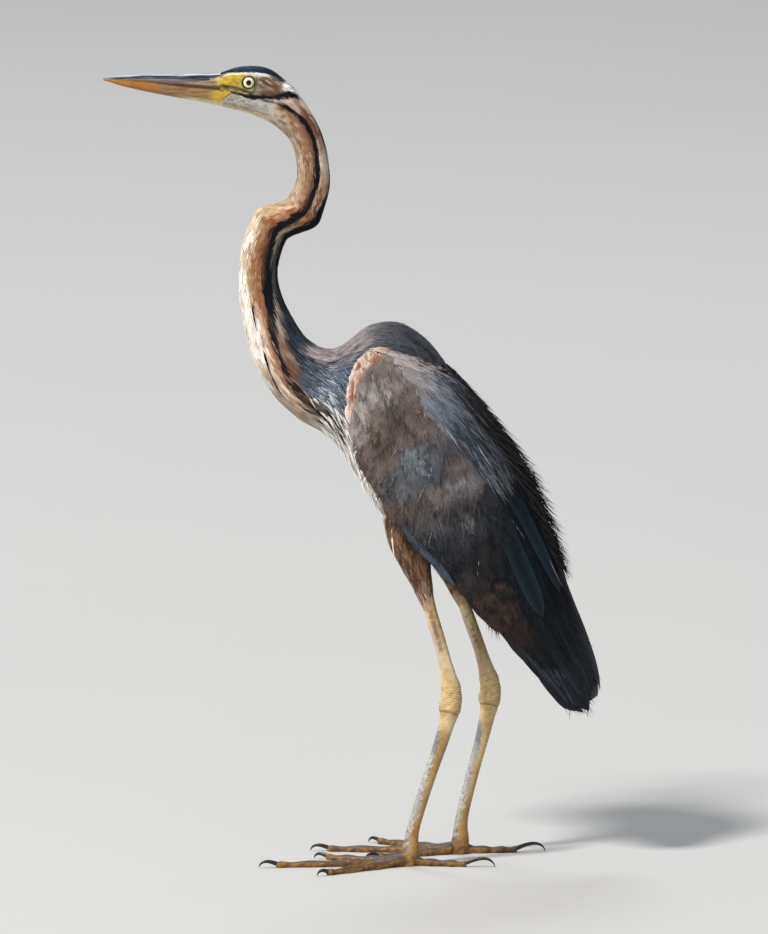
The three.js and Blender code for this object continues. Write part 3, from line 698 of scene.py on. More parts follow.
def wing_colour(place, across):
    """The folded wing's colour, from the bend to the tips."""
    point = wings["left"].at(place, across)
    along = wing_streaks(place, across, 18, 2.4, 11)
    fine = hanging_streaks(point, 13, 2.2, 15)
    broad = hanging_streaks(point, 34, 15, 12)
    clouds = mottle(point, 11, 13)
    past_cleft = across - keyed(CLEFT, place)

    # Soft coverts: mauve grey above, warmer and streaked below, and dark towards the tip.
    tone = mix(COVERT, COVERT_PALE, 0.5 + 0.25 * fine + 0.22 * clouds - 0.2 * smooth(place, 3.0, 5.0))
    warm = smooth(past_cleft, 0.14, 0.4) * band(place, 2.4, 3.6, 5.2, 6.2)
    tone = mix(tone, mix("57483e", "8b7a6c", 0.45 + 0.35 * fine + 0.2 * broad), warm * 0.8)
    from_front = away(point, [(27, 442), (5, 425), (5, 398)])
    tone = mix(tone, "bab2ae", fade(from_front, 2, 17) * (0.42 + 0.2 * fine))
    tint, other = mottle(point * [1, 1, 0.8], 26, 33), mottle(point * [1, 1, 0.8], 19, 34)
    inner = band(place, 2.6, 3.8, 7, 8)
    tone = layered(
        tone,
        ("515c67", smooth(tint + 0.2 * fine, 0.15, 0.8) * 0.6 * inner),
        ("3f312a", smooth(-tint + 0.2 * fine, 0.15, 0.8) * 0.5 * inner),
        ("716366", smooth(other, 0.3, 0.9) * 0.4 * inner),
        ("8d8583", smooth(clouds + 0.4 * fine, 0.7, 1.2) * near(place, 4.2, 1.6) * 0.4),
    )
    patch = away(point, [(53, 384), (61, 381), (66, 371)]) + 2 * clouds
    tone = mix(tone, mix("5f6a73", "838e96", 0.45 + 0.4 * fine), fade(patch, 6, 14) * 0.8)
    dark = smooth(place + 0.5 * broad + 0.25 * fine, 4.9, 6.2)
    dusk = mix("1d1e21", "3b3b3f", 0.38 + 0.35 * fine + 0.35 * clouds)
    dusk = mix(dusk, "27323c", smooth(broad - 0.3 * clouds, 0.0, 0.7) * 0.75)
    tone = mix(tone, dusk, dark * 0.9)
    # Painted highlights: pale grey streaks where light catches the lower wing.
    lit = np.minimum(away(point, [(88, 350), (112, 361)]), away(point, [(64, 322), (80, 318)]))
    lit = np.minimum(lit, 4 + away(point, [(104, 324), (122, 312)]))
    tone = mix(tone, "8f8c90", fade(lit, 2, 14) * (0.6 + 0.3 * fine))
    tone = tone * (1 - 0.35 * near(place, 5.9, 0.8) * smooth(across, 0.7, 0.85))[..., None]
    night = smooth(place + 0.4 * broad + 0.2 * fine, 6.3, 7.5)
    tone = mix(tone, mix("080c12", "1c232c", 0.35 + 0.35 * along), night * 0.95)
    brown = near(place + 0.25 * fine, 8.1, 0.95) * smooth(across + 0.04 * fine, 0.6, 0.72)
    tone = mix(tone, mix("2e2320", "4d3b33", 0.4 + 0.4 * fine), brown * 0.85)

    # Scapulars: mauve at the shoulder, then blue grey, with pale streaks.
    grey = mix("978b8a", "b5aaa7", 0.45 + 0.45 * along)
    grey = layered(
        grey,
        (mix("606a77", "8992a0", 0.45 + 0.45 * along), smooth(place + 0.5 * clouds, 2.9, 4.2)),
        (mix("1c242d", "37414d", 0.4 + 0.5 * along), smooth(place + 0.4 * along, 4.3, 5.2)),
        ("0a0e14", smooth(place, 5.6, 6.8) * 0.85),
    )
    ridge = smooth(0.13 - 0.06 * smooth(place, 5, 8) - across + 0.01 * along, -0.03, 0.04)
    ridge = ridge * smooth(place, 3.4, 5.0)
    grey = mix(grey, mix(DARK_BACK, "3b414b", 0.5 + 0.5 * along), ridge * 0.85)
    tone = mix(tone, grey, smooth(0.02 * along - past_cleft, -0.005, 0.012) * smooth(place, 0.7, 1.5))

    # A reddish streak below the cleft, and the shoulder's mottled rusty patch with its pale rim.
    red = near(past_cleft, 0.035, 0.045) * band(place, 3.0, 3.3, 4.3, 4.9)
    tone = mix(tone, "704937", red * np.clip(0.45 + 0.5 * fine, 0, 1))
    rim = away(point, SHOULDER_EDGE)
    reach = keyed([(412, 2), (424, 7), (445, 11), (484, 14)], point[..., 2])
    blots = mottle(point, 8, 14) + 0.35 * fine
    shoulder = mix("93553b", "cdb5a4", smooth(blots, -0.55, 0.25))
    shoulder = mix(shoulder, "e2d6cc", fade(rim + 1.2 * blots, 1.5, 4.5) * 0.8)
    return mix(tone, shoulder, fade(rim + 1.5 * fine, reach * 0.85, reach * 1.1))


# ---------------------------------------------------------------- meshes
def make_piece(name, chunks, material):
    """One mesh object from chunks of points, faces, colours and map places."""
    points, colours, bakes, vanes, rims = ([] for _ in range(5))
    corners, sizes = [], []
    first = 0
    for chunk in chunks:
        points.append(chunk["points"])
        colours.append(chunk["colours"])
        bakes.append(chunk["bake"])
        vanes.append(chunk["vane"])
        rims.append(chunk.get("rim", np.zeros(len(chunk["points"]), bool)))
        for faces in chunk["faces"]:
            faces = np.asarray(faces)
            corners.append(faces.ravel() + first)
            sizes.append(np.full(len(faces), faces.shape[1]))
        first += len(chunk["points"])
    points, colours = np.concatenate(points), np.concatenate(colours)
    corners, sizes = np.concatenate(corners).astype(np.int32), np.concatenate(sizes).astype(np.int32)
    mesh = bpy.data.meshes.new(name)
    mesh.vertices.add(len(points))
    mesh.vertices.foreach_set("co", (points * MM).astype(np.float32).ravel())
    mesh.loops.add(len(corners))
    mesh.loops.foreach_set("vertex_index", corners)
    mesh.polygons.add(len(sizes))
    mesh.polygons.foreach_set("loop_start", np.concatenate([[0], np.cumsum(sizes)[:-1]]).astype(np.int32))
    mesh.polygons.foreach_set("use_smooth", np.ones(len(sizes), bool))
    for layer, places in (("OFBake", bakes), ("Vane", vanes)):
        uv = mesh.uv_layers.new(name=layer)
        uv.data.foreach_set("uv", np.concatenate(places)[corners].astype(np.float32).ravel())
    attribute = mesh.color_attributes.new("Colour", "FLOAT_COLOR", "POINT")
    filled = np.concatenate([np.clip(colours, 0, 1), np.ones((len(colours), 1))], 1)
    attribute.data.foreach_set("color", filled.astype(np.float32).ravel())
    mesh.update(calc_edges=True)
    ends = np.empty(len(mesh.edges) * 2, np.int32)
    mesh.edges.foreach_get("vertices", ends)
    crisp = np.concatenate(rims)[ends.reshape(-1, 2)].all(1)
    mesh.attributes.new("sharp_edge", "BOOLEAN", "EDGE").data.foreach_set("value", crisp)
    mesh.materials.append(material)
    piece = bpy.data.objects.new(name, mesh)
    bpy.context.scene.collection.objects.link(piece)
    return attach(piece, "root")


def grid_faces(rings, sides, closed=True):
    """Quads between rings of points."""
    r, s = lattice(np.arange(rings - 1), np.arange(sides if closed else sides - 1))
    a = (r * sides + s).ravel()
    b = (r * sides + (s + 1) % sides).ravel()
    return np.stack([a, a + sides, b + sides, b], 1)


def shell(points, colours, bake, vane=None, flip=False):
    """A closed piece from a (rings, sides, 3) grid of points, with a hub at both ends."""
    rings, sides = points.shape[:2]
    hubs = np.stack([points[0].mean(0), points[-1].mean(0)])
    quads = grid_faces(rings, sides)
    ring = np.arange(sides)
    after = (ring + 1) % sides
    count = rings * sides
    last = count - sides
    start = np.stack([ring, after, np.full(sides, count)], 1)
    end = np.stack([after + last, ring + last, np.full(sides, count + 1)], 1)
    faces = [quads, start, end]
    if flip:
        faces = [f[:, ::-1] for f in faces]

    def flat(values):
        width = values.shape[-1]
        ends = np.stack([values[0].mean(0), values[-1].mean(0)])
        return np.concatenate([values.reshape(-1, width), ends])

    vane = np.zeros((*points.shape[:2], 2)) if vane is None else vane
    return {
        "points": np.concatenate([points.reshape(-1, 3), hubs]),
        "faces": faces,
        "colours": flat(colours),
        "bake": flat(bake),
        "vane": flat(vane),
    }


# ---------------------------------------------------------------- feathers
# Cross sections from the left edge over the shaft to the right edge and back: (across, height).
TUFT = [(-1, 0), (0, 1), (1, 0)]
BLADE = [(-1, 0), (-0.5, 0.7), (0, 1), (0.5, 0.7), (1, 0), (0, -0.5)]
# Half widths from root to tip, as shares of the widest.
SLIVER = [0.5, 1, 0.75]
LANCE = [0.35, 0.8, 1, 0.95, 0.75, 0.4]
OVAL = [0.35, 0.72, 0.95, 1, 0.9, 0.68, 0.36]
PADDLE = [0.5, 0.68, 0.82, 0.9, 0.95, 0.98, 1, 1, 1, 0.96, 0.86, 0.6]
LONG = [0.25, 0.5, 0.72, 0.86, 0.95, 1, 1, 0.98, 0.93, 0.84, 0.68, 0.42]


def scatter(surface, along, across, spacing, keep=None):
    """Staggered roots about spacing apart over a stretch of a surface."""
    places, turns = [], []
    place = along[0]
    row = 0
    while place < along[1]:
        fan = np.linspace(*across, 160)
        _, _, _, _, (pace, girth) = surface.frame(np.full(160, place), fan)
        gap = spacing(place) if callable(spacing) else spacing
        arc = np.concatenate([[0], np.cumsum((girth[1:] + girth[:-1]) / 2 * np.diff(fan))])
        count = max(int(arc[-1] / gap), 1)
        spots = (np.arange(count) + 0.5 * (row % 2) + rng.uniform(-0.3, 0.3, count)) / count * arc[-1]
        turn = np.interp(spots, arc, fan)
        step = gap / np.percentile(pace, 85)
        own = place + step * rng.uniform(-0.4, 0.4, count)
        crowd = np.interp(turn, fan, pace) * step / gap
        chosen = rng.random(count) < np.clip(crowd * 1.15, 0.25, 1)
        places.append(own[chosen])
        turns.append(turn[chosen])
        place += step
        row += 1
    places, turns = np.concatenate(places), np.concatenate(turns)
    if keep is not None:
        kept = rng.random(len(places)) < keep(places, turns)
        places, turns = places[kept], turns[kept]
    return places, turns


def walk(surface, along, across, length, turn, steps, sway):
    """Points at even steps down each feather, following the surface from its root. turn is the angle
    from straight along, and grows by sway to the tip."""
    along, across = along.copy(), across.copy()
    found = []
    for k in range(steps + 1):
        point, ahead, aside, out, (pace, girth) = surface.frame(along, across)
        heading = turn + sway * k / steps
        way = unit(ahead * np.cos(heading)[:, None] + aside * np.sin(heading)[:, None])
        found.append((point, way, out, along, across))
        along = along + np.cos(heading) * length / steps / np.maximum(pace, 1)
        across = across + np.sin(heading) * length / steps / np.maximum(girth, 2)
        if surface.across != AROUND:
            across = np.clip(across, 0.01, 0.99)
    return [np.stack(part, 1) for part in zip(*found)]


def grow(
    surface,
    roots,
    colour,
    length,
    width,
    depth,
    outline=SLIVER,
    section=TUFT,
    thick=0.18,
    lift=0.3,
    turn=0.0,
    sway=0.06,
    shade=(0.86, 1.04),
    tip=None,
    shaft=None,
    edge=None,
    fringe=0,
    vary=0.08,
    stray=0.05,
    ends=None,
    follow=0.0,
):
    """Feathers that grow from roots on a surface, each a closed mesh, and run to their ends if those are
    given. colour is called with each feather's place, at about two thirds of its length, and follow is
    the share that changes along the feather with the place instead."""
    along, across = roots
    count, steps = len(along), len(outline)

    def each(value):
        value = value(along, across) if callable(value) else value
        return np.broadcast_to(np.asarray(value, float), (count,)).copy()

    length = each(length) * rng.uniform(0.85, 1.15, count)
    width = each(width) * rng.uniform(0.85, 1.15, count)
    depth, lift = each(depth), each(lift) * rng.uniform(0.3, 1.5, count)
    heading = each(turn) + rng.normal(0, stray, count)
    share = np.arange(steps + 1) / steps
    if ends is None:
        found = walk(surface, along, across, length, heading, steps, rng.normal(0, sway, count))
        path, ahead, out, *track = found
    else:
        track = [a[:, None] * (1 - share) + b[:, None] * share for a, b in zip(roots, ends)]
        path, ahead, _, out, _ = surface.frame(*track)
        length = np.linalg.norm(np.diff(path, axis=1), axis=-1).sum(1)
    rise = np.minimum(share / 0.4, 1) ** 0.8
    sink = -depth[:, None] * (1 - rise) + lift[:, None] * share**2
    path = path + out * sink[..., None]
    ahead = unit(np.gradient(path, axis=1))
    side = unit(np.cross(ahead, out))
    up = np.cross(side, ahead)

    section = np.array(section, float)
    half = width[:, None] / 2 * np.array(outline)
    rings = path[:, :-1, None] + side[:, :-1, None] * (half[..., None] * section[:, 0])[..., None]
    rings = rings + up[:, :-1, None] * (thick * half / half.max(1, keepdims=True))[..., None, None] * (
        section[:, 1][:, None]
    )
    m = len(section)
    points = np.concatenate([rings.reshape(count, -1, 3), path[:, -1:]], 1)

    # Colour: darker at the root as painted shade, with a shaft, edges and tip of their own.
    if ends is None:
        pace = surface.frame(along, across)[4][0]
        middle = along + 0.6 * np.cos(heading) * length / pace, across
    else:
        middle = [(a + b) / 2 for a, b in zip(roots, ends)]
    spot = colour(*middle)
    own = rng.uniform(1 - vary, 1 + vary, (count, 1))
    base = spot * own
    light = shade[0] + (shade[1] - shade[0]) * np.append(share[:-1], 1)
    if follow:
        places = [np.asarray(part)[:, :-1].ravel() for part in track]
        there = colour(*places).reshape(count, steps, 3) * own[:, None]
        tones = (base[:, None] * (1 - follow) + there * follow)[:, :, None] * light[None, :-1, None, None]
        tones = tones * np.ones((1, 1, m, 1))
    else:
        tones = base[:, None, None] * light[None, :-1, None, None] * np.ones((1, 1, m, 1))
    if edge is not None:
        amount = np.abs(section[:, 0])[None, None] ** 2 * edge[1] * rng.uniform(0.5, 1.3, (count, 1, 1))
        tones = mix(tones, edge[0], amount * share[None, :-1, None])
    if shaft is not None:
        tones = mix(tones, shaft[0], (1 - np.abs(section[:, 0]))[None, None] ** 2 * shaft[1])
    ribs = tones.mean(2)
    ends = base * light[-1]
    if tip is not None:
        amount = smooth(share[:-1], tip[2], 1)[None, :, None] * tip[1]
        tones = mix(tones, tip[0], np.broadcast_to(amount, tones.shape[:-1]))
        ends = mix(ends, tip[0], np.full(count, tip[1]))
    tones = np.concatenate([tones.reshape(count, -1, 3), ends[:, None]], 1)

    # Maps: a small patch at the root's place, and the feather's own measure in millimetres.
    local = np.broadcast_to(section[:, 0], (steps, m)), np.broadcast_to(share[:-1, None], (steps, m))
    local = np.stack([local[0].ravel(), local[1].ravel() * 2 - 1], -1)
    local = np.concatenate([local, [[0, 1]]])
    bake = surface.unwrap(along, across)[:, None] + local * PATCH / 2
    bake = np.clip(bake, 0.001, 0.999)
    offset = rng.uniform(0, 400, (count, 1))
    vane = np.stack(
        [local[None, :, 0] * width[:, None] / 2, (local[None, :, 1] + 1) / 2 * length[:, None] + offset], -1
    )

    per = points.shape[1]
    base_index = np.arange(count)[:, None, None] * per
    quads = grid_faces(steps, m)[None] + base_index
    ring = np.arange(m)
    tip_faces = np.stack([(steps - 1) * m + ring, np.full(m, per - 1), (steps - 1) * m + (ring + 1) % m], 1)
    root_face = ring[None]
    chunk = {
        "points": points.reshape(-1, 3),
        "faces": [
            quads.reshape(-1, 4),
            (tip_faces[None] + base_index).reshape(-1, 3),
            (root_face[None] + base_index).reshape(-1, m),
        ],
        "colours": tones.reshape(-1, 3),
        "bake": bake.reshape(-1, 2),
        "vane": vane.reshape(-1, 2),
        "rim": np.tile(np.append(np.tile(np.abs(section[:, 0]) == 1, steps), True), count),
    }
    if not fringe:
        return [chunk]
    return [chunk, barbs(surface, roots, path, ahead, side, up, half, ribs, fringe, edge)]


def draw(surface, table, colour, width, depth, **style):
    """Feathers laid one by one, from rows of the root's (place, across) and the end's (place, across)."""
    place, across, end_place, end_across = np.array(table, float).T
    return grow(surface, (place, across), colour, 1, width, depth, ends=(end_place, end_across), **style)


def barbs(surface, roots, path, ahead, side, up, half, ribs, count, edge):
    """Loose barbs along the outer half of each feather, thin closed spikes of the vane's colour there."""
    feathers, steps = half.shape
    which = np.repeat(np.arange(feathers), count)
    share = (1 - 0.7 * rng.random(len(which)) ** 1.4) * steps * 0.985
    k = np.minimum(share.astype(int), steps - 1)
    f = (share - k)[:, None]
    sign = np.where(rng.random(len(which)) < 0.5, -1, 1)
    reach = half[which, k] * rng.uniform(0.1, 0.85, len(which)) * sign
    root = path[which, k] * (1 - f) + path[which, k + 1] * f + side[which, k] * reach[:, None]
    length = (1.2 + half.max(1)[which]) * rng.uniform(0.5, 1.15, len(which))
    way = unit(
        ahead[which, k]
        + side[which, k] * (sign * rng.uniform(0.0, 0.45, len(which)))[:, None]
        + up[which, k] * rng.uniform(-0.02, 0.16, len(which))[:, None]
    )
    thin = np.minimum(0.3, length * 0.07)[:, None]
    flat = unit(np.cross(way, up[which, k]))
    corners = [root - flat * thin, root + up[which, k] * thin * 0.8, root + flat * thin]
    points = np.stack([*corners, root + way * length[:, None]], 1)
    tone = ribs[which, k] * rng.uniform(0.85, 1.2, (len(which), 1))
    if edge is not None:
        tone = mix(tone, edge[0], rng.uniform(0, edge[1], len(which)))
    tones = np.repeat(tone[:, None], 4, 1)
    spot = surface.unwrap(roots[0], roots[1])[which]
    bake = spot[:, None] + np.array([[-0.3, 0], [0, 0.1], [0.3, 0], [0, 0.5]])[None] * PATCH
    first = np.arange(len(which))[:, None, None] * 4
    faces = np.array([[0, 3, 1], [1, 3, 2], [2, 3, 0], [0, 1, 2]])[None] + first
    return {
        "points": points.reshape(-1, 3),
        "faces": [faces.reshape(-1, 3)],
        "colours": tones.reshape(-1, 3),
        "bake": np.clip(bake, 0.001, 0.999).reshape(-1, 2),
        "vane": np.zeros((len(which) * 4, 2)),
    }


# ---------------------------------------------------------------- materials
class Shader:
    """A material whose nodes are added one call at a time."""

    def __init__(self, name):
        self.material = bpy.data.materials.new(name)
        self.material.use_nodes = True
        self.tree = self.material.node_tree
        self.tree.nodes.clear()
        self.output = self.tree.nodes.new("ShaderNodeOutputMaterial")

    def add(self, kind, inputs=(), **settings):
        node = self.tree.nodes.new("ShaderNode" + kind)
        for key, value in settings.items():
            setattr(node, key, value)
        for key, value in dict(inputs).items():
            if isinstance(value, bpy.types.NodeSocket):
                self.tree.links.new(value, node.inputs[key])
            else:
                node.inputs[key].default_value = value
        return node

    def maths(self, operation, *values):
        return self.add("Math", dict(enumerate(values)), operation=operation).outputs[0]

    def blend(self, kind, share, a, b):
        node = self.add("Mix", data_type="RGBA", blend_type=kind)
        for index, value in ((0, share), (6, a), (7, b)):
            if isinstance(value, bpy.types.NodeSocket):
                self.tree.links.new(value, node.inputs[index])
            else:
                node.inputs[index].default_value = value
        return node.outputs[2]

    def noise(self, vector, scale, detail=3.0, rough=0.5):
        inputs = {"Vector": vector, "Scale": scale, "Detail": detail, "Roughness": rough}
        return self.add("TexNoise", inputs).outputs["Fac"]

    def ramp(self, value, to_low, to_high, low=0.3, high=0.7):
        """A noise's usual range from low to high, stretched from to_low to to_high."""
        inputs = {"Value": value, "From Min": low, "From Max": high, "To Min": to_low, "To Max": to_high}
        return self.add("MapRange", inputs).outputs["Result"]

    def stretched(self, vector, scale):
        return self.add("Mapping", {"Vector": vector, "Scale": scale}).outputs["Vector"]

    def place(self):
        return self.add("TexCoord").outputs["Object"]

    def tinted(self, tone):
        """The vertex colour, darker or lighter by a tone around 1."""
        colour = self.add("Attribute", attribute_name="Colour").outputs["Color"]
        grey = self.add("CombineColor", {"Red": tone, "Green": tone, "Blue": tone}).outputs[0]
        return self.blend("MULTIPLY", 1.0, colour, grey)

    def bump(self, height, strength, distance, below=None):
        inputs = {"Height": height, "Strength": strength, "Distance": distance}
        if below is not None:
            inputs["Normal"] = below
        return self.add("Bump", inputs).outputs["Normal"]

    def finish(self, **inputs):
        named = {key.replace("_", " "): value for key, value in inputs.items()}
        node = self.add("BsdfPrincipled", named)
        self.tree.links.new(node.outputs["BSDF"], self.output.inputs["Surface"])
        return self.material


def plumage(name, gloss, barb=1.0, sheen=0.015, shine=0.14):
    """Feathers: the vertex colour, streaked along slanting barbs and mottled over a few millimetres."""
    s = Shader(name)
    place = s.place()
    vane = s.add("UVMap", uv_map="Vane").outputs["UV"]
    parts = s.add("SeparateXYZ", {"Vector": vane}).outputs
    lean = s.maths("SUBTRACT", parts["Y"], s.maths("MULTIPLY", s.maths("ABSOLUTE", parts["X"]), 1.1))
    slanted = s.add("CombineXYZ", {"X": lean, "Y": s.maths("MULTIPLY", parts["X"], 0.2)}).outputs[0]
    streaks = s.noise(slanted, 1.5 * barb, 2.0, 0.6)
    patches = s.noise(place, 140.0, 2.0)
    tone = s.maths("MULTIPLY", s.ramp(streaks, 0.8, 1.18), s.ramp(patches, 0.9, 1.1))
    colour = s.tinted(tone)
    rough = s.ramp(streaks, gloss + 0.1, gloss - 0.08)
    return s.finish(
        Base_Color=colour,
        Roughness=rough,
        Normal=s.bump(streaks, 0.35, 0.0004),
        Specular_IOR_Level=shine,
        Sheen_Weight=sheen,
        Sheen_Roughness=0.5,
    )


def skin_material():
    """Bare skin and the down under the feathers: fine creases and pores over the vertex colour."""
    s = Shader("skin")
    place = s.place()
    pores = s.add("TexVoronoi", {"Vector": place, "Scale": 1500.0}).outputs["Distance"]
    creases = s.noise(s.stretched(place, (1.0, 0.5, 1.4)), 900.0, 3.0, 0.6)
    blotch = s.noise(place, 260.0, 3.0)
    tone = s.maths("MULTIPLY", s.ramp(creases, 0.8, 1.15), s.ramp(blotch, 0.85, 1.12))
    lower = s.bump(creases, 0.4, 0.0005)
    return s.finish(
        Base_Color=s.tinted(tone),
        Roughness=s.ramp(blotch, 0.42, 0.6),
        Normal=s.bump(pores, 0.25, 0.0003, lower),
        Subsurface_Weight=0.06,
        Subsurface_Radius=(0.004, 0.002, 0.001),
        Subsurface_Scale=0.3,
    )


def horn(name, gloss=0.32):
    """Bill and claws: long grain, scratches and a dull shine."""
    s = Shader(name)
    place = s.place()
    grain = s.noise(s.stretched(place, (1.0, 0.07, 1.0)), 1300.0, 3.0, 0.6)
    wear = s.noise(s.stretched(place, (1.0, 0.3, 1.0)), 330.0, 4.0, 0.65)
    tone = s.maths("MULTIPLY", s.ramp(grain, 0.78, 1.18), s.ramp(wear, 0.82, 1.16))
    lower = s.bump(grain, 0.25, 0.0003)
    return s.finish(
        Base_Color=s.tinted(tone),
        Roughness=s.ramp(wear, gloss - 0.06, gloss + 0.14),
        Normal=s.bump(wear, 0.2, 0.0004, lower),
        Coat_Weight=0.15,
        Coat_Roughness=0.25,
    )


def scales(name):
    """Legs and toes: small plates in the mesh, with finer ones and dry creases in the finish."""
    s = Shader(name)
    place = s.place()
    pattern = s.add("TexVoronoi", {"Vector": place, "Scale": 720.0}, feature="DISTANCE_TO_EDGE")
    cells = pattern.outputs["Distance"]
    grit = s.noise(place, 1700.0, 3.0, 0.6)
    stain = s.noise(place, 240.0, 4.0, 0.6)
    lines = s.ramp(cells, 0.72, 1.0, 0.0, 0.09)
    tone = s.maths("MULTIPLY", lines, s.ramp(stain, 0.78, 1.16))
    tone = s.maths("MULTIPLY", tone, s.ramp(grit, 0.88, 1.1))
    lower = s.bump(s.ramp(cells, 0.0, 1.0, 0.0, 0.12), 0.35, 0.0003)
    return s.finish(
        Base_Color=s.tinted(tone),
        Roughness=s.ramp(stain, 0.45, 0.66),
        Normal=s.bump(grit, 0.25, 0.0003, lower),
        Subsurface_Weight=0.05,
        Subsurface_Radius=(0.003, 0.0015, 0.001),
        Subsurface_Scale=0.3,
    )


def eye_material():
    """Wet and smooth, with faint rays."""
    s = Shader("eye")
    place = s.place()
    rays = s.noise(s.stretched(place, (0.2, 1.0, 1.0)), 2600.0, 3.0, 0.6)
    return s.finish(
        Base_Color=s.tinted(s.ramp(rays, 0.86, 1.1)),
        Roughness=s.ramp(rays, 0.2, 0.3),
        Normal=s.bump(rays, 0.12, 0.0001),
        Specular_IOR_Level=0.15,
        Coat_Weight=0.35,
        Coat_Roughness=0.02,
    )


# ---------------------------------------------------------------- skin
def face_relief(points, out):
    """Moves the head's skin: hollow lores with folds, a brow over the eye, a lipped mouth and an open
    socket."""
    y, z = points[..., 1], points[..., 2]
    flank = smooth(np.abs(points[..., 0]), 5, 8)
    depth = -1.3 * near(y, -109, 10) * near(z, 722.5, 6.5)
    depth = depth + 0.9 * near(z, 731.2, 3.0) * near(y, -98, 16)
    depth = depth + 0.22 * mottle(points * [0.5, 1, 1.6], 2.6, 31) * is_bare(points)
    lip = [(a, b - 2.3) for a, b in MOUTH]
    depth = depth - 0.9 * line_mask(points, MOUTH, 1.0) + 0.5 * line_mask(points, lip, 1.1)
    depth = depth - 0.5 * line_mask(points, UNDER_EYE[:4], 0.8)
    moved = points + out * (depth * flank)[..., None]
    socket = fade(from_eye(points), 5.0, 6.2) * smooth(np.abs(points[..., 0]), 6, 8)
    moved[..., 0] *= 1 - 0.3 * socket
    return moved


def body_skin():
    """One closed surface from the bill's base to the tail's root, inside the coat."""
    spread = [(0, 3.4, 105), (3.4, 15, 190), (15, 26, 70)]  # head, neck and trunk: from, to, rings
    places = np.concatenate([np.linspace(a, b, n, endpoint=b == 26) for a, b, n in spread])
    place, angle = lattice(places, full_turn(144))
    point, _, _, out, _ = body.frame(place, angle)
    bare = is_bare(point)
    depth = keyed(COAT_DEPTH, place) * (1 - bare * 0.9)
    # Under the coat the skin takes the plumage's markings, darkened as painted shade between the feathers.
    colours = mix(body_colour(place, angle) * 0.6, face_colour(point), bare)
    point = face_relief(point - out * depth[..., None], out)
    return shell(point, colours, body.unwrap(place, angle))


def plain_skin(surface, places, sides, depth, colour):
    """A closed skin of one colour, at a depth under a surface, keyed by place."""
    place, angle = lattice(places, full_turn(sides))
    point, _, _, out, _ = surface.frame(place, angle)
    point = point - out * keyed(depth, place)[..., None]
    return shell(point, np.broadcast_to(colour, point.shape), surface.unwrap(place, angle))


def wing_skin(name):
    """The folded wing's flesh under its feathers, a thin closed sheet."""
    surface = wings[name]
    place, share = lattice(np.linspace(0.15, 11.6, 70), np.linspace(0.03, 0.97, 26))
    point, _, _, out, _ = surface.frame(place, share)
    thick = sample(WING, place)[..., 7]
    thin = np.maximum(1.6, thick * 0.3)
    pillow = np.sqrt(np.maximum(1 - (2 * share - 1) ** 2, 0))
    full = thin + (thick - thin) * pillow
    outer = point - out * np.minimum(2.6, full * 0.42)[..., None]
    inner = point - out * (full * 0.92)[..., None]
    ring = np.concatenate([outer, inner[:, ::-1]], 1)
    # Its outer side takes the wing's markings and its inner side slate, both darkened as painted shade under
    # the feathers.
    tone = wing_colour(place, share) * 0.55
    tones = np.concatenate([tone, np.broadcast_to(SLATE * 0.7, tone.shape)], 1)
    spots = surface.unwrap(place, share)
    return shell(ring, tones, np.concatenate([spots, spots[:, ::-1]], 1), flip=surface.facing > 0)


def eyelids(side):
    """A ring of skin round the eye, dark where it meets the eyeball, with fine creases across it."""
    around, over = lattice(full_turn(96, 0), full_turn(20, 0))
    # A little longer than high, and set into the slope of the head.
    oval = 1 + 0.03 * np.cos(2 * around)
    crease = 0.08 * np.sin(31 * around) * np.maximum(np.cos(over), 0)
    radius = (LID["radius"] + LID["half_width"] * np.cos(over)) * oval + crease
    y, z = radius * np.cos(around), radius * np.sin(around)
    x = LID["x"] + LID["half_height"] * np.sin(over) + 0.05 * y - 0.07 * np.maximum(z, 0)
    points = np.stack([side * x, EYE["y"] + y, EYE["z"] + z], -1)
    dark = smooth(-np.cos(over), -0.62, -0.3)
    skin = mix("8f8432", "c6b447", 0.5 + 0.5 * np.sin(around + 1))
    return points, mix(skin, "100d0a", dark)


def add_skin(material):
    # The skins under the tail's and the thighs' feathers take their colours darkened, as painted shade
    # between the feathers.
    chunks = [body_skin(), plain_skin(tail, np.linspace(0, 2.6, 20), 36, [(0, 1.4), (3, 1.4)], FLIGHT * 0.7)]
    for name, thigh in thighs.items():
        places = np.linspace(0, FEATHERED_TO, 60)
        chunks.append(plain_skin(thigh, places, 40, [(0, 3), (4, 2.2), (5.8, 0.9)], CHESTNUT * 0.6))
        chunks.append(wing_skin(name))
    skin = make_piece("skin", chunks, material)
    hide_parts("head", "neck_upper", "neck_kink", "neck_lower", "trunk", "tail")
    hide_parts("thigh_left", "thigh_right", "wing_left", "wing_right")


# ---------------------------------------------------------------- head
def lid_ring(side):
    """The closed ring of mesh that makes one eye's lids."""
    points, tones = eyelids(side)
    rings, sides = points.shape[:2]
    faces = grid_faces(rings + 1, sides) % (rings * sides)
    spot = body.unwrap(np.array(1.2), np.array(side * 1.2))
    return {
        "points": points.reshape(-1, 3),
        "faces": [faces[:, ::-1] if side < 0 else faces],
        "colours": tones.reshape(-1, 3),
        "bake": np.broadcast_to(spot, (rings * sides, 2)),
        "vane": np.zeros((rings * sides, 2)),
    }


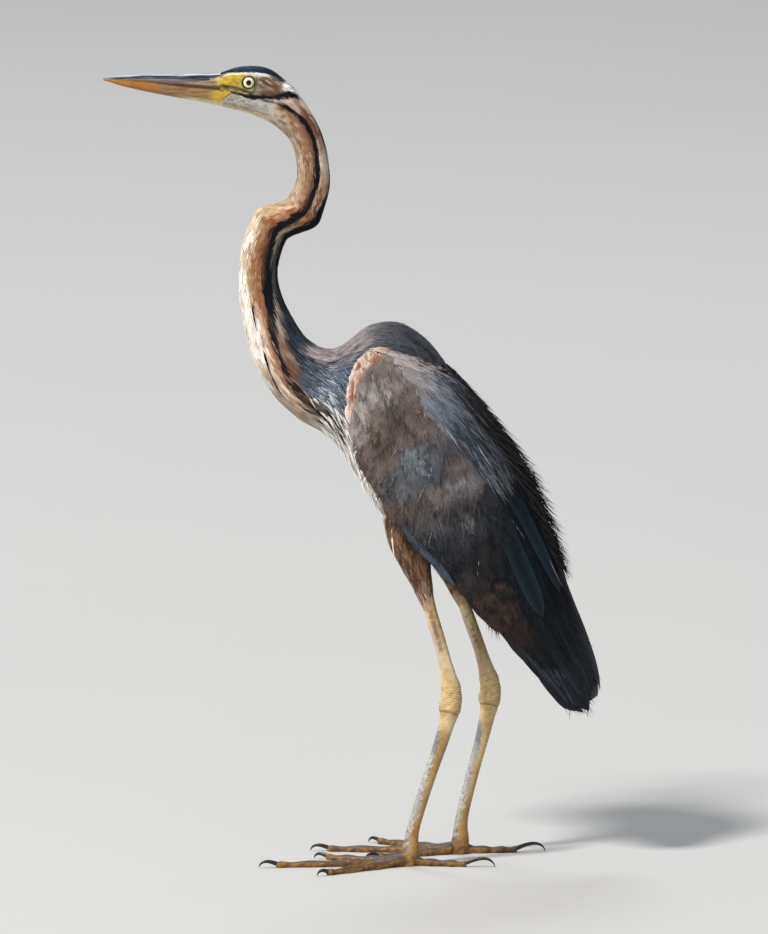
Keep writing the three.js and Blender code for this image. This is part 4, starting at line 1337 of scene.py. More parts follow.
def add_eyes(material, skin):
    """Domed eyeballs with a black pupil and a pale yellow iris, and their lids."""
    for name, side in (("eye_left", 1), ("eye_right", -1)):
        pupil, iris = np.linspace(0.02, PUPIL_RADIUS, 8), np.linspace(PUPIL_RADIUS + 0.1, 6.9, 26)
        radius, turn = lattice(np.concatenate([pupil, iris]), full_turn(64, 0))
        dome = np.sqrt(1 - (radius / EYE["radius"]) ** 2) * EYE["bulge"]
        cornea = 0.35 * fade(radius, 2.5, IRIS_RADIUS + 0.4)
        x = side * (EYE["x"] + dome + cornea)
        point = np.stack([x, EYE["y"] + radius * np.cos(turn), EYE["z"] + radius * np.sin(turn)], -1)
        back = point[-1:].copy()
        back[..., 0] = side * (EYE["x"] - 3)
        point = np.concatenate([point, back])
        radius = np.concatenate([radius, radius[-1:]])
        turn = np.concatenate([turn, turn[-1:]])
        flecks = 0.12 * np.sin(23 * turn) + 0.08 * np.sin(41 * turn + 3 * radius)
        iris = mix("efe9bd", "cfc267", smooth(radius, 3.2, IRIS_RADIUS) * 0.6 + flecks)
        tone = mix("030306", iris, smooth(radius, PUPIL_RADIUS, PUPIL_RADIUS + 0.25))
        tone = mix(tone, "0a0806", smooth(radius, IRIS_RADIUS - 0.25, IRIS_RADIUS + 0.05))
        spots = np.stack([0.5 + radius * np.cos(turn) / 16, 0.5 + radius * np.sin(turn) / 16], -1)
        eye = make_piece(name + "_ball", [shell(point, tone, spots, flip=side < 0)], material)
        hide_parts(name)
    lids = make_piece("eyelids", [lid_ring(1), lid_ring(-1)], skin)


# How high up the bill its dark ridge starts, by y: 0 is the bill's lower edge and 1 its top.
CULMEN_FROM = [
    (-228, 0.35), (-218, 0.58), (-205, 0.69), (-176, 0.73), (-150, 0.74), (-132, 0.78), (-122, 0.92),
    (-117, 0.99),
]


def gape_at(y):
    """The height of the line where the mandibles meet."""
    return GAPE_Z - (y - BILL[0][0]) * math.tan(GAPE_SLOPE)


def bill_colour(y, height, above, points):
    """height is 0 at the bill's lower edge and 1 at its top."""
    z = points[..., 2]
    grain = mottle(points * [1, 0.12, 1.4], 1.5, 41)
    cloud = mottle(points * [1, 0.3, 1], 5, 42)
    lip = z - gape_at(y)
    if above:
        tone = mix("a58b62", "7a6044", 0.4 + 0.4 * grain + 0.3 * cloud)
        tone = layered(
            tone,
            (mix("5d4031", "7f5b40", 0.5 + 0.5 * grain), smooth(-y, 132, 160) * 0.8),
            ("7d4523", smooth(-y, 180, 200) * 0.7),
            ("b07818", smooth(-y, 196, 214) * fade(lip, 0.6, 1.6) * 0.8),
        )
        dark_from = keyed(CULMEN_FROM, y)
        culmen = mix("161b27", "434d60", 0.4 + 0.6 * grain)
        # Painted highlights on the dark culmen: a pale line along its lower edge and a whitish top edge.
        culmen = mix(culmen, "8e98ab", near(height, dark_from + 0.04, 0.04) * smooth(-y, 150, 165) * 0.5)
        culmen = mix(culmen, "c3cad6", smooth(height + 0.03 * grain, 0.95, 1.0) * 0.8)
        tone = mix(tone, culmen, smooth(height - dark_from, -0.02, 0.03))
        tone = mix(tone, "cfb52c", smooth(y, -127, -119) * fade(height - dark_from, -0.06, 0) * 0.9)
        dark = keyed([(-205, 0.3), (-165, 1.6), (-130, 2.5), (-118, 3.0)], y)
        dark = smooth(dark + 0.3 * cloud - lip, -0.7, 0.5)
        return mix(tone, "3c2822", dark * smooth(y, -210, -180) * 0.9)
    tone = mix("ad6d0a", "957647", smooth(y, -190, -168) + 0.25 * cloud * smooth(y, -200, -186))
    tone = layered(
        tone,
        ("8d5a1a", smooth(0.36 - height, 0, 0.25) * fade(y, -186, -172) * 0.75),
        ("735631", (0.35 + 0.45 * grain) * smooth(y, -184, -170)),
        ("8f8a45", near(y, -136, 8) * (0.4 + 0.3 * cloud)),
        ("c9a41f", smooth(y, -134, -124) * 0.9),
        ("cfc49c", smooth(0.16 - height, -0.02, 0.06) * smooth(y, -165, -145) * 0.85),
    )
    dark = keyed([(-200, 0.2), (-165, 0.7), (-130, 1.5), (-118, 2.2)], y)
    dark = smooth(dark + 0.3 * cloud + lip, -0.5, 0.4)
    return mix(tone, "3f2a1d", dark * smooth(y, -190, -165) * 0.9)


def mandible(above):
    """Half of the bill, from its outline's section at each place down to the line of the gape."""
    rows = np.array(BILL, float)
    places = np.linspace(0, len(BILL) - 1, 220)
    row = sample(rows, places)
    y, top, bottom, wide = row[:, 0], row[:, 1], row[:, 3], row[:, 4]
    middle, half = (top + bottom) / 2, (top - bottom) / 2
    gap = 0.12
    gape = gape_at(y) + (gap if above else -gap)
    level = np.clip((gape - middle) / half, -0.999, 0.999)
    start = np.arccos(np.sign(level) * np.abs(level) ** 1.1)
    sweep = np.linspace(-1, 1, 61)
    if above:
        angle = start[:, None] * sweep
    else:
        angle = math.pi + (math.pi - start)[:, None] * sweep
    x = wide[:, None] * squared(np.sin(angle))
    z = middle[:, None] + half[:, None] * squared(np.cos(angle))
    ridge = np.exp(-((np.abs(x) / (0.45 * wide[:, None])) ** 2))
    if above:
        # A keeled culmen with a groove along each side, and the slit of the nostril in it.
        groove = near(z, (top - 0.33 * (top - gape))[:, None], 1.9)
        groove = groove * smooth(y, -205, -190)[:, None] * fade(y, -128, -120)[:, None]
        slot = np.hypot((y[:, None] + 138) / 10, (z - (top - 0.3 * (top - gape))[:, None]) / 1.4)
        slit = fade(slot, 0.7, 1.0)
        x = x * (1 - 0.06 * (1 - ridge)) - np.sign(x) * (0.5 * groove + 0.7 * slit)
        x = x * (1 + 0.03 * smooth(np.abs(sweep), 0.9, 1))
    else:
        x = x * (1 - 0.035 * near(sweep, 0.55, 0.4) - 0.035 * near(sweep, -0.55, 0.4))
    points = np.stack([x, np.broadcast_to(y[:, None], x.shape), z], -1)
    height = (z - bottom[:, None]) / (top - bottom)[:, None]
    tone = bill_colour(points[..., 1], height, above, points)
    # The nostril's slit painted near black, as painted shade in its hollow.
    if above:
        tone = mix(tone, "0f1016", slit * 0.95)
    # The flat that faces the other mandible.
    flat = points[:, ::-1] * [0.9, 1, 1]
    flat[..., 2] = gape[:, None]
    flat = flat[:, 4:-4:6]
    points = np.concatenate([points, flat], 1)
    tone = np.concatenate([tone, np.broadcast_to(hue("3a2516"), flat.shape)], 1)
    spread = np.linspace(0.03, 0.97, points.shape[1])
    spots = np.stack(np.broadcast_arrays(spread[None], (0.03 + 0.94 * places / places[-1])[:, None]), -1)
    return shell(points, tone, spots, flip=True)


def add_bill(material):
    """The two halves of the bill."""
    for name, above in (("bill_upper", True), ("bill_lower", False)):
        piece = make_piece(name + "_horn", [mandible(above)], material)
        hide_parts(name)


# ---------------------------------------------------------------- coats
def coat_depth(place, _angle):
    """How thick the coat lies over the body, in millimetres."""
    return keyed(COAT_DEPTH, place)


def off_face(place, angle):
    """1 off the bare skin of the face, 0 on it."""
    return 1.0 - is_bare(body.at(place, angle))


def even(colour):
    """A colour function for feathers that are all alike."""
    return lambda along, across: np.broadcast_to(hue(colour), (len(along), 3))


def by_place(keys):
    """A number for grow() that changes along the surface."""
    return lambda place, across: keyed(keys, place)


def in_crown(place, angle):
    """1 in the black crown, 0 outside it."""
    point = body.at(place, angle)
    y, z = point[..., 1], point[..., 2]
    return ((z > keyed(CROWN_EDGE, y) + 0.3) & (y < -68)).astype(float)


def add_head_feathers(material, glossy):
    fine = grow(
        body, scatter(body, (0.05, 3.3), AROUND, 1.2, off_face), body_colour,
        by_place([(0, 2.6), (1, 4), (2, 5.5), (3.3, 7.5)]), by_place([(0, 0.8), (2, 1.0), (3.3, 1.15)]),
        coat_depth, lift=by_place([(0, 0.05), (0.6, 0.2), (3, 0.35)]), thick=0.14, vary=0.14, stray=0.08,
    )

    def on_black_line(place, angle):
        return (line_mask(body.at(place, angle), UNDER_EYE, UNDER_EYE_WIDTH) > 0.5) * off_face(place, angle)

    fine += grow(
        body, scatter(body, (0.6, 3.4), (-2.2, 2.2), 1.0, on_black_line), even(INK), 4.5, 1.0, 0.8,
        thick=0.14, lift=0.45, stray=0.05,
    )
    head = make_piece("head_feathers", fine, material)

    # The crown's black feathers, their tips a lighter blue as a painted sheen.
    cap = grow(
        body, scatter(body, (0.15, 2.9), (-0.9, 0.9), 1.5, in_crown), even(CROWN),
        by_place([(0, 4), (1, 8), (3, 12)]), by_place([(0, 0.9), (0.6, 1.4), (3, 1.7)]), 0.8,
        lift=by_place([(0, 0.05), (0.5, 0.25), (2, 0.5), (3, 0.8)]), outline=LANCE,
        tip=("1f3a58", 0.35, 0.6),
    )
    crown = make_piece("crown_feathers", cap, glossy)

    # Ragged white tufts on the nape, the black wedge below them, and soft plumes that lie down the neck.
    shag = []
    for side in (1, -1):
        start, turn = rng.uniform(2.58, 2.98, 22), np.radians(rng.uniform(17, 40, 22))
        end = start + rng.uniform(0.3, 0.46, 22)
        table = np.column_stack([start, side * turn, end, side * turn * rng.uniform(0.7, 1.0, 22)])
        tones = np.where(rng.random((22, 1)) < 0.75, hue("eceef0"), hue("a98b74"))
        shag += draw(
            body, table, lambda p, a: tones, 1.7, 0.6, outline=LANCE, thick=0.3, vary=0.1,
            lift=rng.uniform(0.8, 2.8, 22),
        )
        down = np.linspace(0, 1, 10)
        turn, end_turn = side * np.radians(70 - 24 * down), side * np.radians(25 + 5 * down)
        table = np.column_stack([2.66 + 0.2 * down, turn, 3.46 - 0.05 * down, end_turn])
        shag += draw(body, table, even(INK), 2.0, 0.6, outline=LANCE, thick=0.35, lift=1.6, vary=0.1)
    shag += draw(
        body,
        [(3.5, 0.5, 5.7, 0.22), (3.6, -0.5, 5.6, -0.22), (4.6, 0.3, 5.5, 0.12), (4.6, -0.3, 5.5, -0.12)],
        even(INK), np.array([1.8, 1.8, 2.6, 2.6]), 0.4, outline=LANCE, thick=0.4,
        lift=np.array([1.2, 1.2, 1.8, 1.8]),
    )
    plumes = make_piece("nape_plumes", shag, glossy)


def add_neck_feathers(material):
    for name, span, gap in (("neck_upper", (3.2, 9.2), 1.7), ("neck_lower", (9.2, 16.2), 2.15)):
        chunks = grow(
            body, scatter(body, span, AROUND, gap), body_colour,
            by_place([(3.2, 9), (7, 12), (12, 17), (16, 24)]),
            by_place([(3.2, 1.4), (9, 1.9), (16, 2.3)]), coat_depth,
            lift=by_place([(3, 0.25), (12, 0.35), (16, 0.6)]), vary=0.14, stray=0.07,
        )
        piece = make_piece(name + "_feathers", chunks, material)


def ahead_of_slate(place, angle):
    """1 in front of the slate of the shoulders, 0 behind its edge."""
    return (turned(angle) > keyed(SLATE_EDGE, place) - 6).astype(float)


# Each black streak of the breast: (place, degrees from the back) at its root and at its end.
STREAKS = [
    (11.8, 112, 12.7, 120), (12.9, 116, 14.3, 127), (13.7, 125, 15.3, 141), (14.4, 127, 15.6, 139),
    (15.0, 131, 16.4, 151), (16.0, 134, 17.0, 143), (15.4, 108, 16.4, 120), (15.8, 112, 17.0, 132),
    (16.2, 120, 17.5, 141), (16.8, 111, 18.1, 120), (16.5, 116, 17.7, 131), (13.4, 92, 14.8, 100),
    (14.4, 96, 15.8, 108), (15.2, 104, 16.6, 124), (17.2, 134, 18.3, 146), (15.6, 110, 16.9, 128),
    (16.0, 118, 17.4, 136), (16.1, 113, 17.5, 126), (16.9, 124, 18.2, 136), (16.4, 128, 17.6, 142),
]


def add_breast_plumes(material):
    """Long narrow plumes down the front of the neck and breast, some of them black."""
    roots = scatter(body, (12.2, 19.5), AROUND, 3.4, ahead_of_slate)
    chunks = grow(
        body, roots, body_colour, by_place([(12.2, 22), (14, 36), (18, 52)]),
        by_place([(12, 1.7), (15, 2.4), (19, 3)]), 3.0, outline=LANCE, thick=0.3,
        lift=by_place([(12, 0.6), (16, 1.2), (19, 1.6)]), stray=0.05, sway=0.04, vary=0.1,
    )
    # Black streaks: single dark plumes on both sides of the breast.
    for side in (1, -1):
        table = np.array(STREAKS) * [1, side * DEGREE, 1, side * DEGREE]
        chunks += draw(body, table, even(INK), 2.2, 0.8, outline=LANCE, thick=0.4, lift=2.3, vary=0.2)
    # White plumes down the edge of the belly, and the black tips that end them.
    for side in (1, -1):
        for tone, span, count in (("f4f1ec", (16.4, 19.6), 70), (INK, (19.6, 20.4), 12)):
            roots = rng.uniform(*span, count), side * rng.uniform(2.3, 3.05, count)
            down = aim(body, roots, np.array([0, 0.42, -0.9]))
            chunks += grow(
                body, roots, even(tone), 28, 2.6, 1.5, outline=LANCE, thick=0.4,
                lift=rng.uniform(2, 4.5, count), turn=down, sway=0.05, stray=0.05, vary=0.08,
            )
    piece = make_piece("breast_plumes", chunks, material)


DOWN_THE_SIDE = np.array([0, 0.6, -0.8])


def add_shoulder_wisps(material):
    """Fine hair-like feathers over the slate base of the neck."""

    def slate_only(place, angle):
        return (turned(angle) < keyed(SLATE_EDGE, place) + 3).astype(float)

    def tone(place, angle):
        pale = 0.5 * rng.random(len(place)) ** 2 * smooth(turned(angle), 30, 75) * smooth(place, 13.8, 15.4)
        dark = np.where(rng.random(len(place)) > 0.8, 0.6, 1)[:, None]
        return mix(body_colour(place, angle) * dark, PALE_BLUE, pale)

    def turn(place, angle):
        ahead = body.frame(place, angle)[1]
        share = (smooth(turned(angle), 42, 80) * smooth(place, 14.2, 15.6) * 0.85)[:, None]
        return aim(body, (place, angle), unit(ahead * (1 - share) + DOWN_THE_SIDE * share))

    chunks = grow(
        body, scatter(body, (12.0, 18.4), (-2.2, 2.2), 2.3, slate_only), tone,
        by_place([(12, 14), (16, 24), (18, 28)]), 0.8, 1.2, lift=by_place([(12, 0.4), (16, 1.2)]),
        outline=SLIVER, tip=(PALE_BLUE, 0.15, 0.3), turn=turn, stray=0.08,
    )
    # Pale whiskers over the side of the shoulder, and white plumes just ahead of the wing.
    for side in (1, -1):
        for count, span, fan, tone, wide, reach in (
            (110, (15.1, 17.4), (56, 104), "8d99a6", 0.5, (14, 26)),
            (34, (15.6, 17.2), (70, 100), "c3cbd3", 0.55, (18, 30)),
            (24, (15.5, 16.4), (86, 104), "dfe1e2", 0.9, (16, 24)),
            (46, (16.0, 17.4), (98, 122), "efece6", 1.7, (22, 34)),
            (10, (16.2, 17.3), (103, 118), INK, 1.6, (20, 30)),
        ):
            roots = rng.uniform(*span, count), side * np.radians(rng.uniform(*fan, count))
            down = aim(body, roots, DOWN_THE_SIDE)
            chunks += grow(
                body, roots, even(tone), rng.uniform(*reach, count), wide, 0.8, lift=2.2, outline=LANCE,
                thick=0.2, turn=down * 0.9, stray=0.08, sway=0.03, vary=0.2,
            )
    piece = make_piece("shoulder_wisps", chunks, material)


def unhidden(place, angle):
    """0 where the folded wings lie over the body."""
    turn = turned(angle)
    return ((place < 18.2) | (turn < 62) | (turn > 124)).astype(float)


def add_trunk_feathers(material):
    under = grow(
        body, scatter(body, (15.8, 25.6), AROUND, 7.5, unhidden), body_colour,
        by_place([(15.6, 24), (26, 28)]), by_place([(15.6, 5), (19, 8), (26, 7)]), coat_depth,
        outline=OVAL, section=BLADE, thick=0.4, lift=0.4, fringe=4,
    )
    over = grow(
        body, scatter(body, (15.8, 25.6), AROUND, 3.8, unhidden), body_colour,
        by_place([(15.6, 20), (19, 22), (26, 20)]), by_place([(15.6, 2.1), (19, 2.8), (26, 2.8)]), 1.5,
        lift=0.8, stray=0.09, vary=0.12,
    )
    piece = make_piece("body_feathers", under + over, material)


def add_back_plumes(material):
    """Loose dark plumes from the mantle that hang over the wings' upper edges and stand off the back."""
    chunks = []

    def tone(place, across):
        paler = mix("4a505b", "37322f", smooth(place, 3.4, 4.8))
        return mix(INK, paler, rng.random(len(place)) ** 1.5)

    stand_off = by_place([(2, 1.0), (4, 2.5), (5.2, 6), (6.4, 10), (7.6, 11), (8.2, 6)])
    for surface in wings.values():
        for gap, long, wide in ((3.6, 1.0, 1.3), (6.0, 1.15, 2.4)):
            length = by_place([(2.7, 18 * long), (4.2, 32 * long), (6, 40 * long), (9, 32 * long)])
            chunks += grow(
                surface, scatter(surface, (2.7, 8.2), (0.015, 0.11), gap), tone, length, wide, 0.5,
                outline=LANCE, thick=0.3, lift=stand_off, turn=-0.12, sway=0.16, stray=0.12,
            )
    piece = make_piece("back_plumes", chunks, material)


def down_the_wing(surface):
    """The turn of soft feathers on a wing: they hang straight down, and lie along the wing at its tip."""

    def turn(place, across):
        ahead = surface.frame(place, across)[1]
        low = smooth(across, 0.5, 0.8) * band(place, 2.2, 3.6, 5.2, 6.2)
        lean = 0.12 - 0.45 * low + 0.15 * smooth(place, 6, 8)
        down = np.stack([0 * lean, lean, -np.ones_like(lean)], -1)
        share = smooth(across - keyed(CLEFT, place), -0.02, 0.06) * fade(place, 8.2, 9.4)
        return aim(surface, (place, across), unit(ahead * (1 - share[:, None]) + down * share[:, None]))

    return turn


def add_coverts(name, material):
    """Soft feathers over the front of the wing in layers, and loose strands over them."""
    surface = wings[name]
    down = down_the_wing(surface)

    def clear_of_edge(place, across):
        return np.where((across > 0.93) & (place > 2.2), 0.15 * (place < 5.5), 1.0)

    def turn(place, across):
        edge = smooth(across, 0.8, 0.93) * smooth(place, 2.6, 3.4)
        return down(place, across) * (1 - 0.75 * edge)

    def shorter_at_edge(keys):
        def length(place, across):
            return keyed(keys, place) * (1 - 0.45 * smooth(across, 0.8, 0.95) * smooth(place, 2.0, 3.0))

        return length

    coverts = []
    for span, gap, length, width in (
        ((0.02, 1.7), 2.5, 8, 2.4),
        ((1.6, 4.6), 5.4, 18, 8),
        ((4.5, 8.6), 7.0, 25, 10),
    ):
        coverts += grow(
            surface, scatter(surface, span, (0.03, 0.97), gap, clear_of_edge), wing_colour,
            shorter_at_edge([(0, length), (9, length)]), width, 2.4, outline=OVAL, section=BLADE,
            thick=0.3, lift=0.2, fringe=5, turn=turn, vary=0.04, sway=0.12, stray=0.1, follow=0.9,
        )

    def below_cleft(place, across):
        return (across > keyed(CLEFT, place) + 0.03) * clear_of_edge(place, across)

    # Broad soft feathers that lie over the rest, each shaded from its root to its tip.
    for span, gap, length, width in (((2.2, 4.4), 13, 24, 14), ((4.3, 7.9), 17, 36, 19)):
        coverts += grow(
            surface, scatter(surface, span, (0.06, 0.93), gap, below_cleft), wing_colour,
            shorter_at_edge([(0, length), (9, length)]), width, 1.6, outline=OVAL, section=BLADE,
            thick=0.9, lift=0.8, fringe=44, turn=turn, vary=0.05, sway=0.16, stray=0.14, follow=0.85,
            shade=(0.8, 1.08),
        )
    piece = make_piece(f"wing_coverts_{name}", coverts, material)

    def dulled(share, colour=COVERT_DARK):
        return lambda place, across: mix(wing_colour(place, across), colour, share)

    strands = []
    length = shorter_at_edge([(0, 5), (1.5, 9), (3, 17), (5, 23), (9, 23)])
    for share, tone, wide, last in (
        (0.73, wing_colour, 0.65, 9.2),
        (0.17, dulled(0.3), 0.65, 9.2),
        (0.1, dulled(0.35, "9a908b"), 0.5, 6.6),
    ):
        gap = 1.96 / math.sqrt(share)
        strands += grow(
            surface, scatter(surface, (0.3, last), (0.03, 0.955), gap, clear_of_edge), tone, length, wide,
            0.4, thick=0.14, lift=1.4, turn=turn, sway=0.18, stray=0.14, vary=0.07, follow=0.65,
        )
    # Sleek coverts that lie clear of the soft ones: one by the shoulder, and the pale patch further down.
    clear = [
        (1.72, 0.56, 2.4, 0.67), (4.35, 0.60, 5.0, 0.56), (4.75, 0.62, 5.3, 0.585),
        (5.0, 0.76, 5.6, 0.86), (5.9, 0.5, 6.5, 0.6),
    ]
    strands += draw(
        surface, clear, wing_colour, np.array([10, 15, 13, 9, 12]), 0.6, outline=OVAL, section=BLADE,
        thick=0.8, lift=1.0, fringe=40, vary=0.02, follow=0.6, shade=(0.95, 1.2),
    )
    bare_shafts = [
        (4.2, 0.55, 4.3, 0.73), (4.3, 0.58, 4.5, 0.78), (4.75, 0.495, 4.95, 0.525), (5.05, 0.515, 5.3, 0.56),
        (6.0, 0.62, 6.1, 0.7), (7.1, 0.68, 7.2, 0.73), (7.2, 0.74, 7.3, 0.79), (5.3, 0.6, 5.5, 0.78),
    ]
    strands += draw(surface, bare_shafts, even("a39a96"), 0.7, 0.3, thick=0.3, lift=1.8, vary=0.1)
    piece = make_piece(f"wing_strands_{name}", strands, material)


def add_flight_feathers(name, material):
    """Secondaries, tertials and primaries, layered from the tips up."""
    surface = wings[name]
    chunks = grow(
        surface, scatter(surface, (6.4, 9.2), (0.04, 0.97), 8.0), wing_colour, 60, 13, 2.6, outline=LONG,
        section=BLADE, thick=0.4, lift=0.1, fringe=6, turn=0.02, vary=0.1, sway=0.04,
    )
    rows = [(9.3, 0.06, 0.94, 9, 70), (8.3, 0.05, 0.5, 5, 104)]
    for row, (place, low, high, count, length) in enumerate(rows):
        roots = np.full(count, float(place)), np.linspace(low, high, count)
        chunks += grow(
            surface, roots, wing_colour, length, 16 - row, 1.2, outline=LONG, section=BLADE, thick=0.5,
            lift=0.5 + 0.4 * row, fringe=14, vary=0.08, sway=0.02, shaft=(SOOT, 0.5), edge=(SLATE, 0.25),
        )
    # Stiff primaries with pale shafts along the lower edge.
    primaries = [
        (7.5, 0.965, 10.5, 0.93), (8.0, 0.95, 11.0, 0.88), (8.6, 0.80, 10.8, 0.87), (8.7, 0.72, 11.2, 0.80),
        (8.9, 0.64, 11.4, 0.70),
    ]
    chunks += draw(
        surface, primaries, even(mix(FLIGHT, SLATE, 0.12)), 7.0, 1.5, outline=LONG, section=BLADE, thick=0.5,
        lift=0.8, shaft=("4a525c", 0.45), edge=(INK, 0.6), vary=0.06,
    )
    # Sleek blue-grey edge where the secondaries show below the soft feathers.
    secondaries = [(5.0, 0.94, 6.1, 0.965), (5.4, 0.95, 6.6, 0.972), (5.9, 0.955, 7.1, 0.978)]
    chunks += draw(
        surface, secondaries, even(mix(BLUE_GREY, SLATE, 0.85)), np.array([6, 7.5, 6.5]), 0.3, outline=LONG,
        section=BLADE, thick=0.4, lift=np.array([2.0, 2.2, 2.2]), edge=(SLATE, 0.6), vary=0.05, fringe=6,
    )
    # Three long tertials, one over the other, the lowest with a broad rounded end, and two pale edges.
    tertials = [(6.5, 0.33, 8.72, 0.475), (6.9, 0.33, 8.62, 0.33), (6.0, 0.22, 8.72, 0.16)]
    tones = np.array([hue("12232b"), hue("0b1016"), hue("172934")])
    chunks += draw(
        surface, tertials, lambda p, a: tones, np.array([20, 9, 15]), 0.2, outline=PADDLE, section=BLADE,
        thick=0.5, lift=np.array([1.6, 2.4, 3.2]), shaft=(INK, 0.7), edge=("2b3d49", 0.35), vary=0.0,
    )
    chunks += draw(
        surface, [(7.5, 0.135, 8.66, 0.135), (6.9, 0.31, 7.6, 0.27)], even(mix(PALE_BLUE, SLATE, 0.45)),
        np.array([1.3, 0.7]), 0.0, outline=LONG, thick=0.4, lift=3.6, vary=0.0,
    )
    piece = make_piece(f"wing_flight_{name}", chunks, material)


def add_scapulars(name, material):
    """Narrow feathers over the wing's upper third: mauve, then blue grey, with long wispy ends."""
    surface = wings[name]

    def above_cleft(place, across):
        return (across < keyed(CLEFT, place) - 0.01).astype(float)

    def tone(place, across):
        inside = np.minimum(across, np.maximum(keyed(CLEFT, place) - 0.03, 0.02))
        return mix(wing_colour(place, inside), "b9b4b5", 0.25 * rng.random(len(place)) ** 4)

    def fluff_tone(place, across):
        return mix("7d7879", "bfb8b6", rng.random(len(place)) * (1 - 0.6 * smooth(place, 2.8, 4.0)))

    chunks = grow(
        surface, scatter(surface, (0.9, 6.0), (0.03, 0.3), 4.4, above_cleft), tone,
        by_place([(1, 14), (3, 26), (5.2, 40)]), 5.5, 1.0, outline=LANCE, section=BLADE, thick=0.35,
        lift=0.9, fringe=8, turn=0.03, vary=0.08, sway=0.05,
    )
    chunks += grow(
        surface, scatter(surface, (1.4, 6.2), (0.03, 0.3), 2.6, above_cleft), tone,
        by_place([(1, 12), (3, 24), (5.4, 36)]), 1.1, 0.4, outline=LANCE, thick=0.2, lift=1.2, turn=0.03,
        sway=0.06, tip=(PALE_BLUE, 0.35, 0.3), stray=0.07,
    )
    # Pale fluff that hangs over the cleft, and long pale whiskers at the lower end.
    place = rng.uniform(2.3, 4.9, 40)
    roots = place, keyed(CLEFT, place) - rng.uniform(-0.01, 0.05, 40)
    chunks += grow(
        surface, roots, fluff_tone, by_place([(2, 5), (4.4, 14)]), 1.0, 0.5, outline=LANCE, thick=0.25,
        lift=1.3, turn=0.75, sway=0.2, stray=0.25,
    )
    whiskers = [
        (4.6, 0.24, 5.9, 0.27), (4.8, 0.2, 6.3, 0.27), (4.9, 0.25, 6.1, 0.29), (4.4, 0.27, 5.5, 0.31),
        (5.1, 0.17, 6.4, 0.22), (5.3, 0.22, 6.7, 0.3), (4.3, 0.22, 5.6, 0.25), (5.6, 0.2, 6.8, 0.26),
    ]
    chunks += draw(
        surface, whiskers, even(mix(PALE_BLUE, BLUE_GREY, 0.3)), 1.1, 0.3, outline=LANCE, thick=0.3,
        lift=np.linspace(1.2, 2.4, 8), vary=0.2,
    )
    piece = make_piece(f"scapulars_{name}", chunks, material)


def add_tail_feathers(material):
    """Two layers of seven closed tail feathers, one on top and one below."""
    chunks = []
    spread = np.linspace(-1.15, 1.15, 7)
    for middle in (0, math.pi):
        roots = np.full(7, 0.05), middle + spread
        chunks += grow(
            tail, roots, even(mix(FLIGHT, SLATE, 0.1)), 72, 14, 1.0, outline=LONG, section=BLADE,
            thick=0.6, lift=0.5, sway=0.02, fringe=14, shaft=(INK, 0.5), stray=0.03,
        )
    piece = make_piece("tail_feathers", chunks, material)


def add_thigh_feathers(material):
    """Short chestnut feathers, paler in front, that thin out down the shank."""
    chunks = []
    for name, surface in thighs.items():

        def tone(place, angle):
            point = surface.at(place, angle)
            front = turned(angle)
            streak = mottle(point * [1, 1, 0.25], 4, 21)
            base = mix("4c3427", "82634d", 0.5 + 0.5 * streak)
            base = layered(
                base,
                ("c2a08d", smooth(front + 12 * streak, 136, 166) * 0.75),
                ("38241d", smooth(mottle(point * [1, 1, 0.5], 9, 22) + 0.5 * streak, 0.25, 0.8) * 0.7),
                ("ae947c", smooth(-streak, 0.35, 0.8) * smooth(place, 2.0, 4.0) * 0.5),
            )
            return mix(base, "cdb08a", smooth(place + 0.25 * streak, 4.7, 5.6) * 0.75)

        chunks += grow(
            surface, scatter(surface, (0, FEATHERED_TO - 0.05), AROUND, 2.2), tone,
            by_place([(0, 18), (4, 14), (5.2, 9), (5.8, 5)]), by_place([(0, 2.2), (5, 1.7), (5.8, 1.1)]),
            by_place([(0, 3), (4, 2.2), (5.2, 0.8), (5.8, 0.4)]), lift=0.3, vary=0.16,
        )
        # Loose hairs over them, dark and pale, and a pale hem where the feathers end.
        for shade, gap, span in (
            ("2c1c17", 6.0, (0, 4.6)),
            ("9a7b66", 6.5, (0, 4.8)),
            ("cdb49e", 3.8, (4.3, 4.9)),
        ):
            chunks += grow(
                surface, scatter(surface, span, AROUND, gap), even(shade), 11, 0.8, 0.6, lift=0.8,
                thick=0.2, vary=0.25, stray=0.12,
            )
        # One stray white feather over the top of the thigh.
        side = LEGS[name]["side"]
        table = [(0.5, side * 2.3, 2.0, side * 2.75)]
        chunks += draw(surface, table, even("e9dccf"), 1.6, 0.0, thick=0.5, lift=2.5)
    piece = make_piece("thigh_feathers", chunks, material)


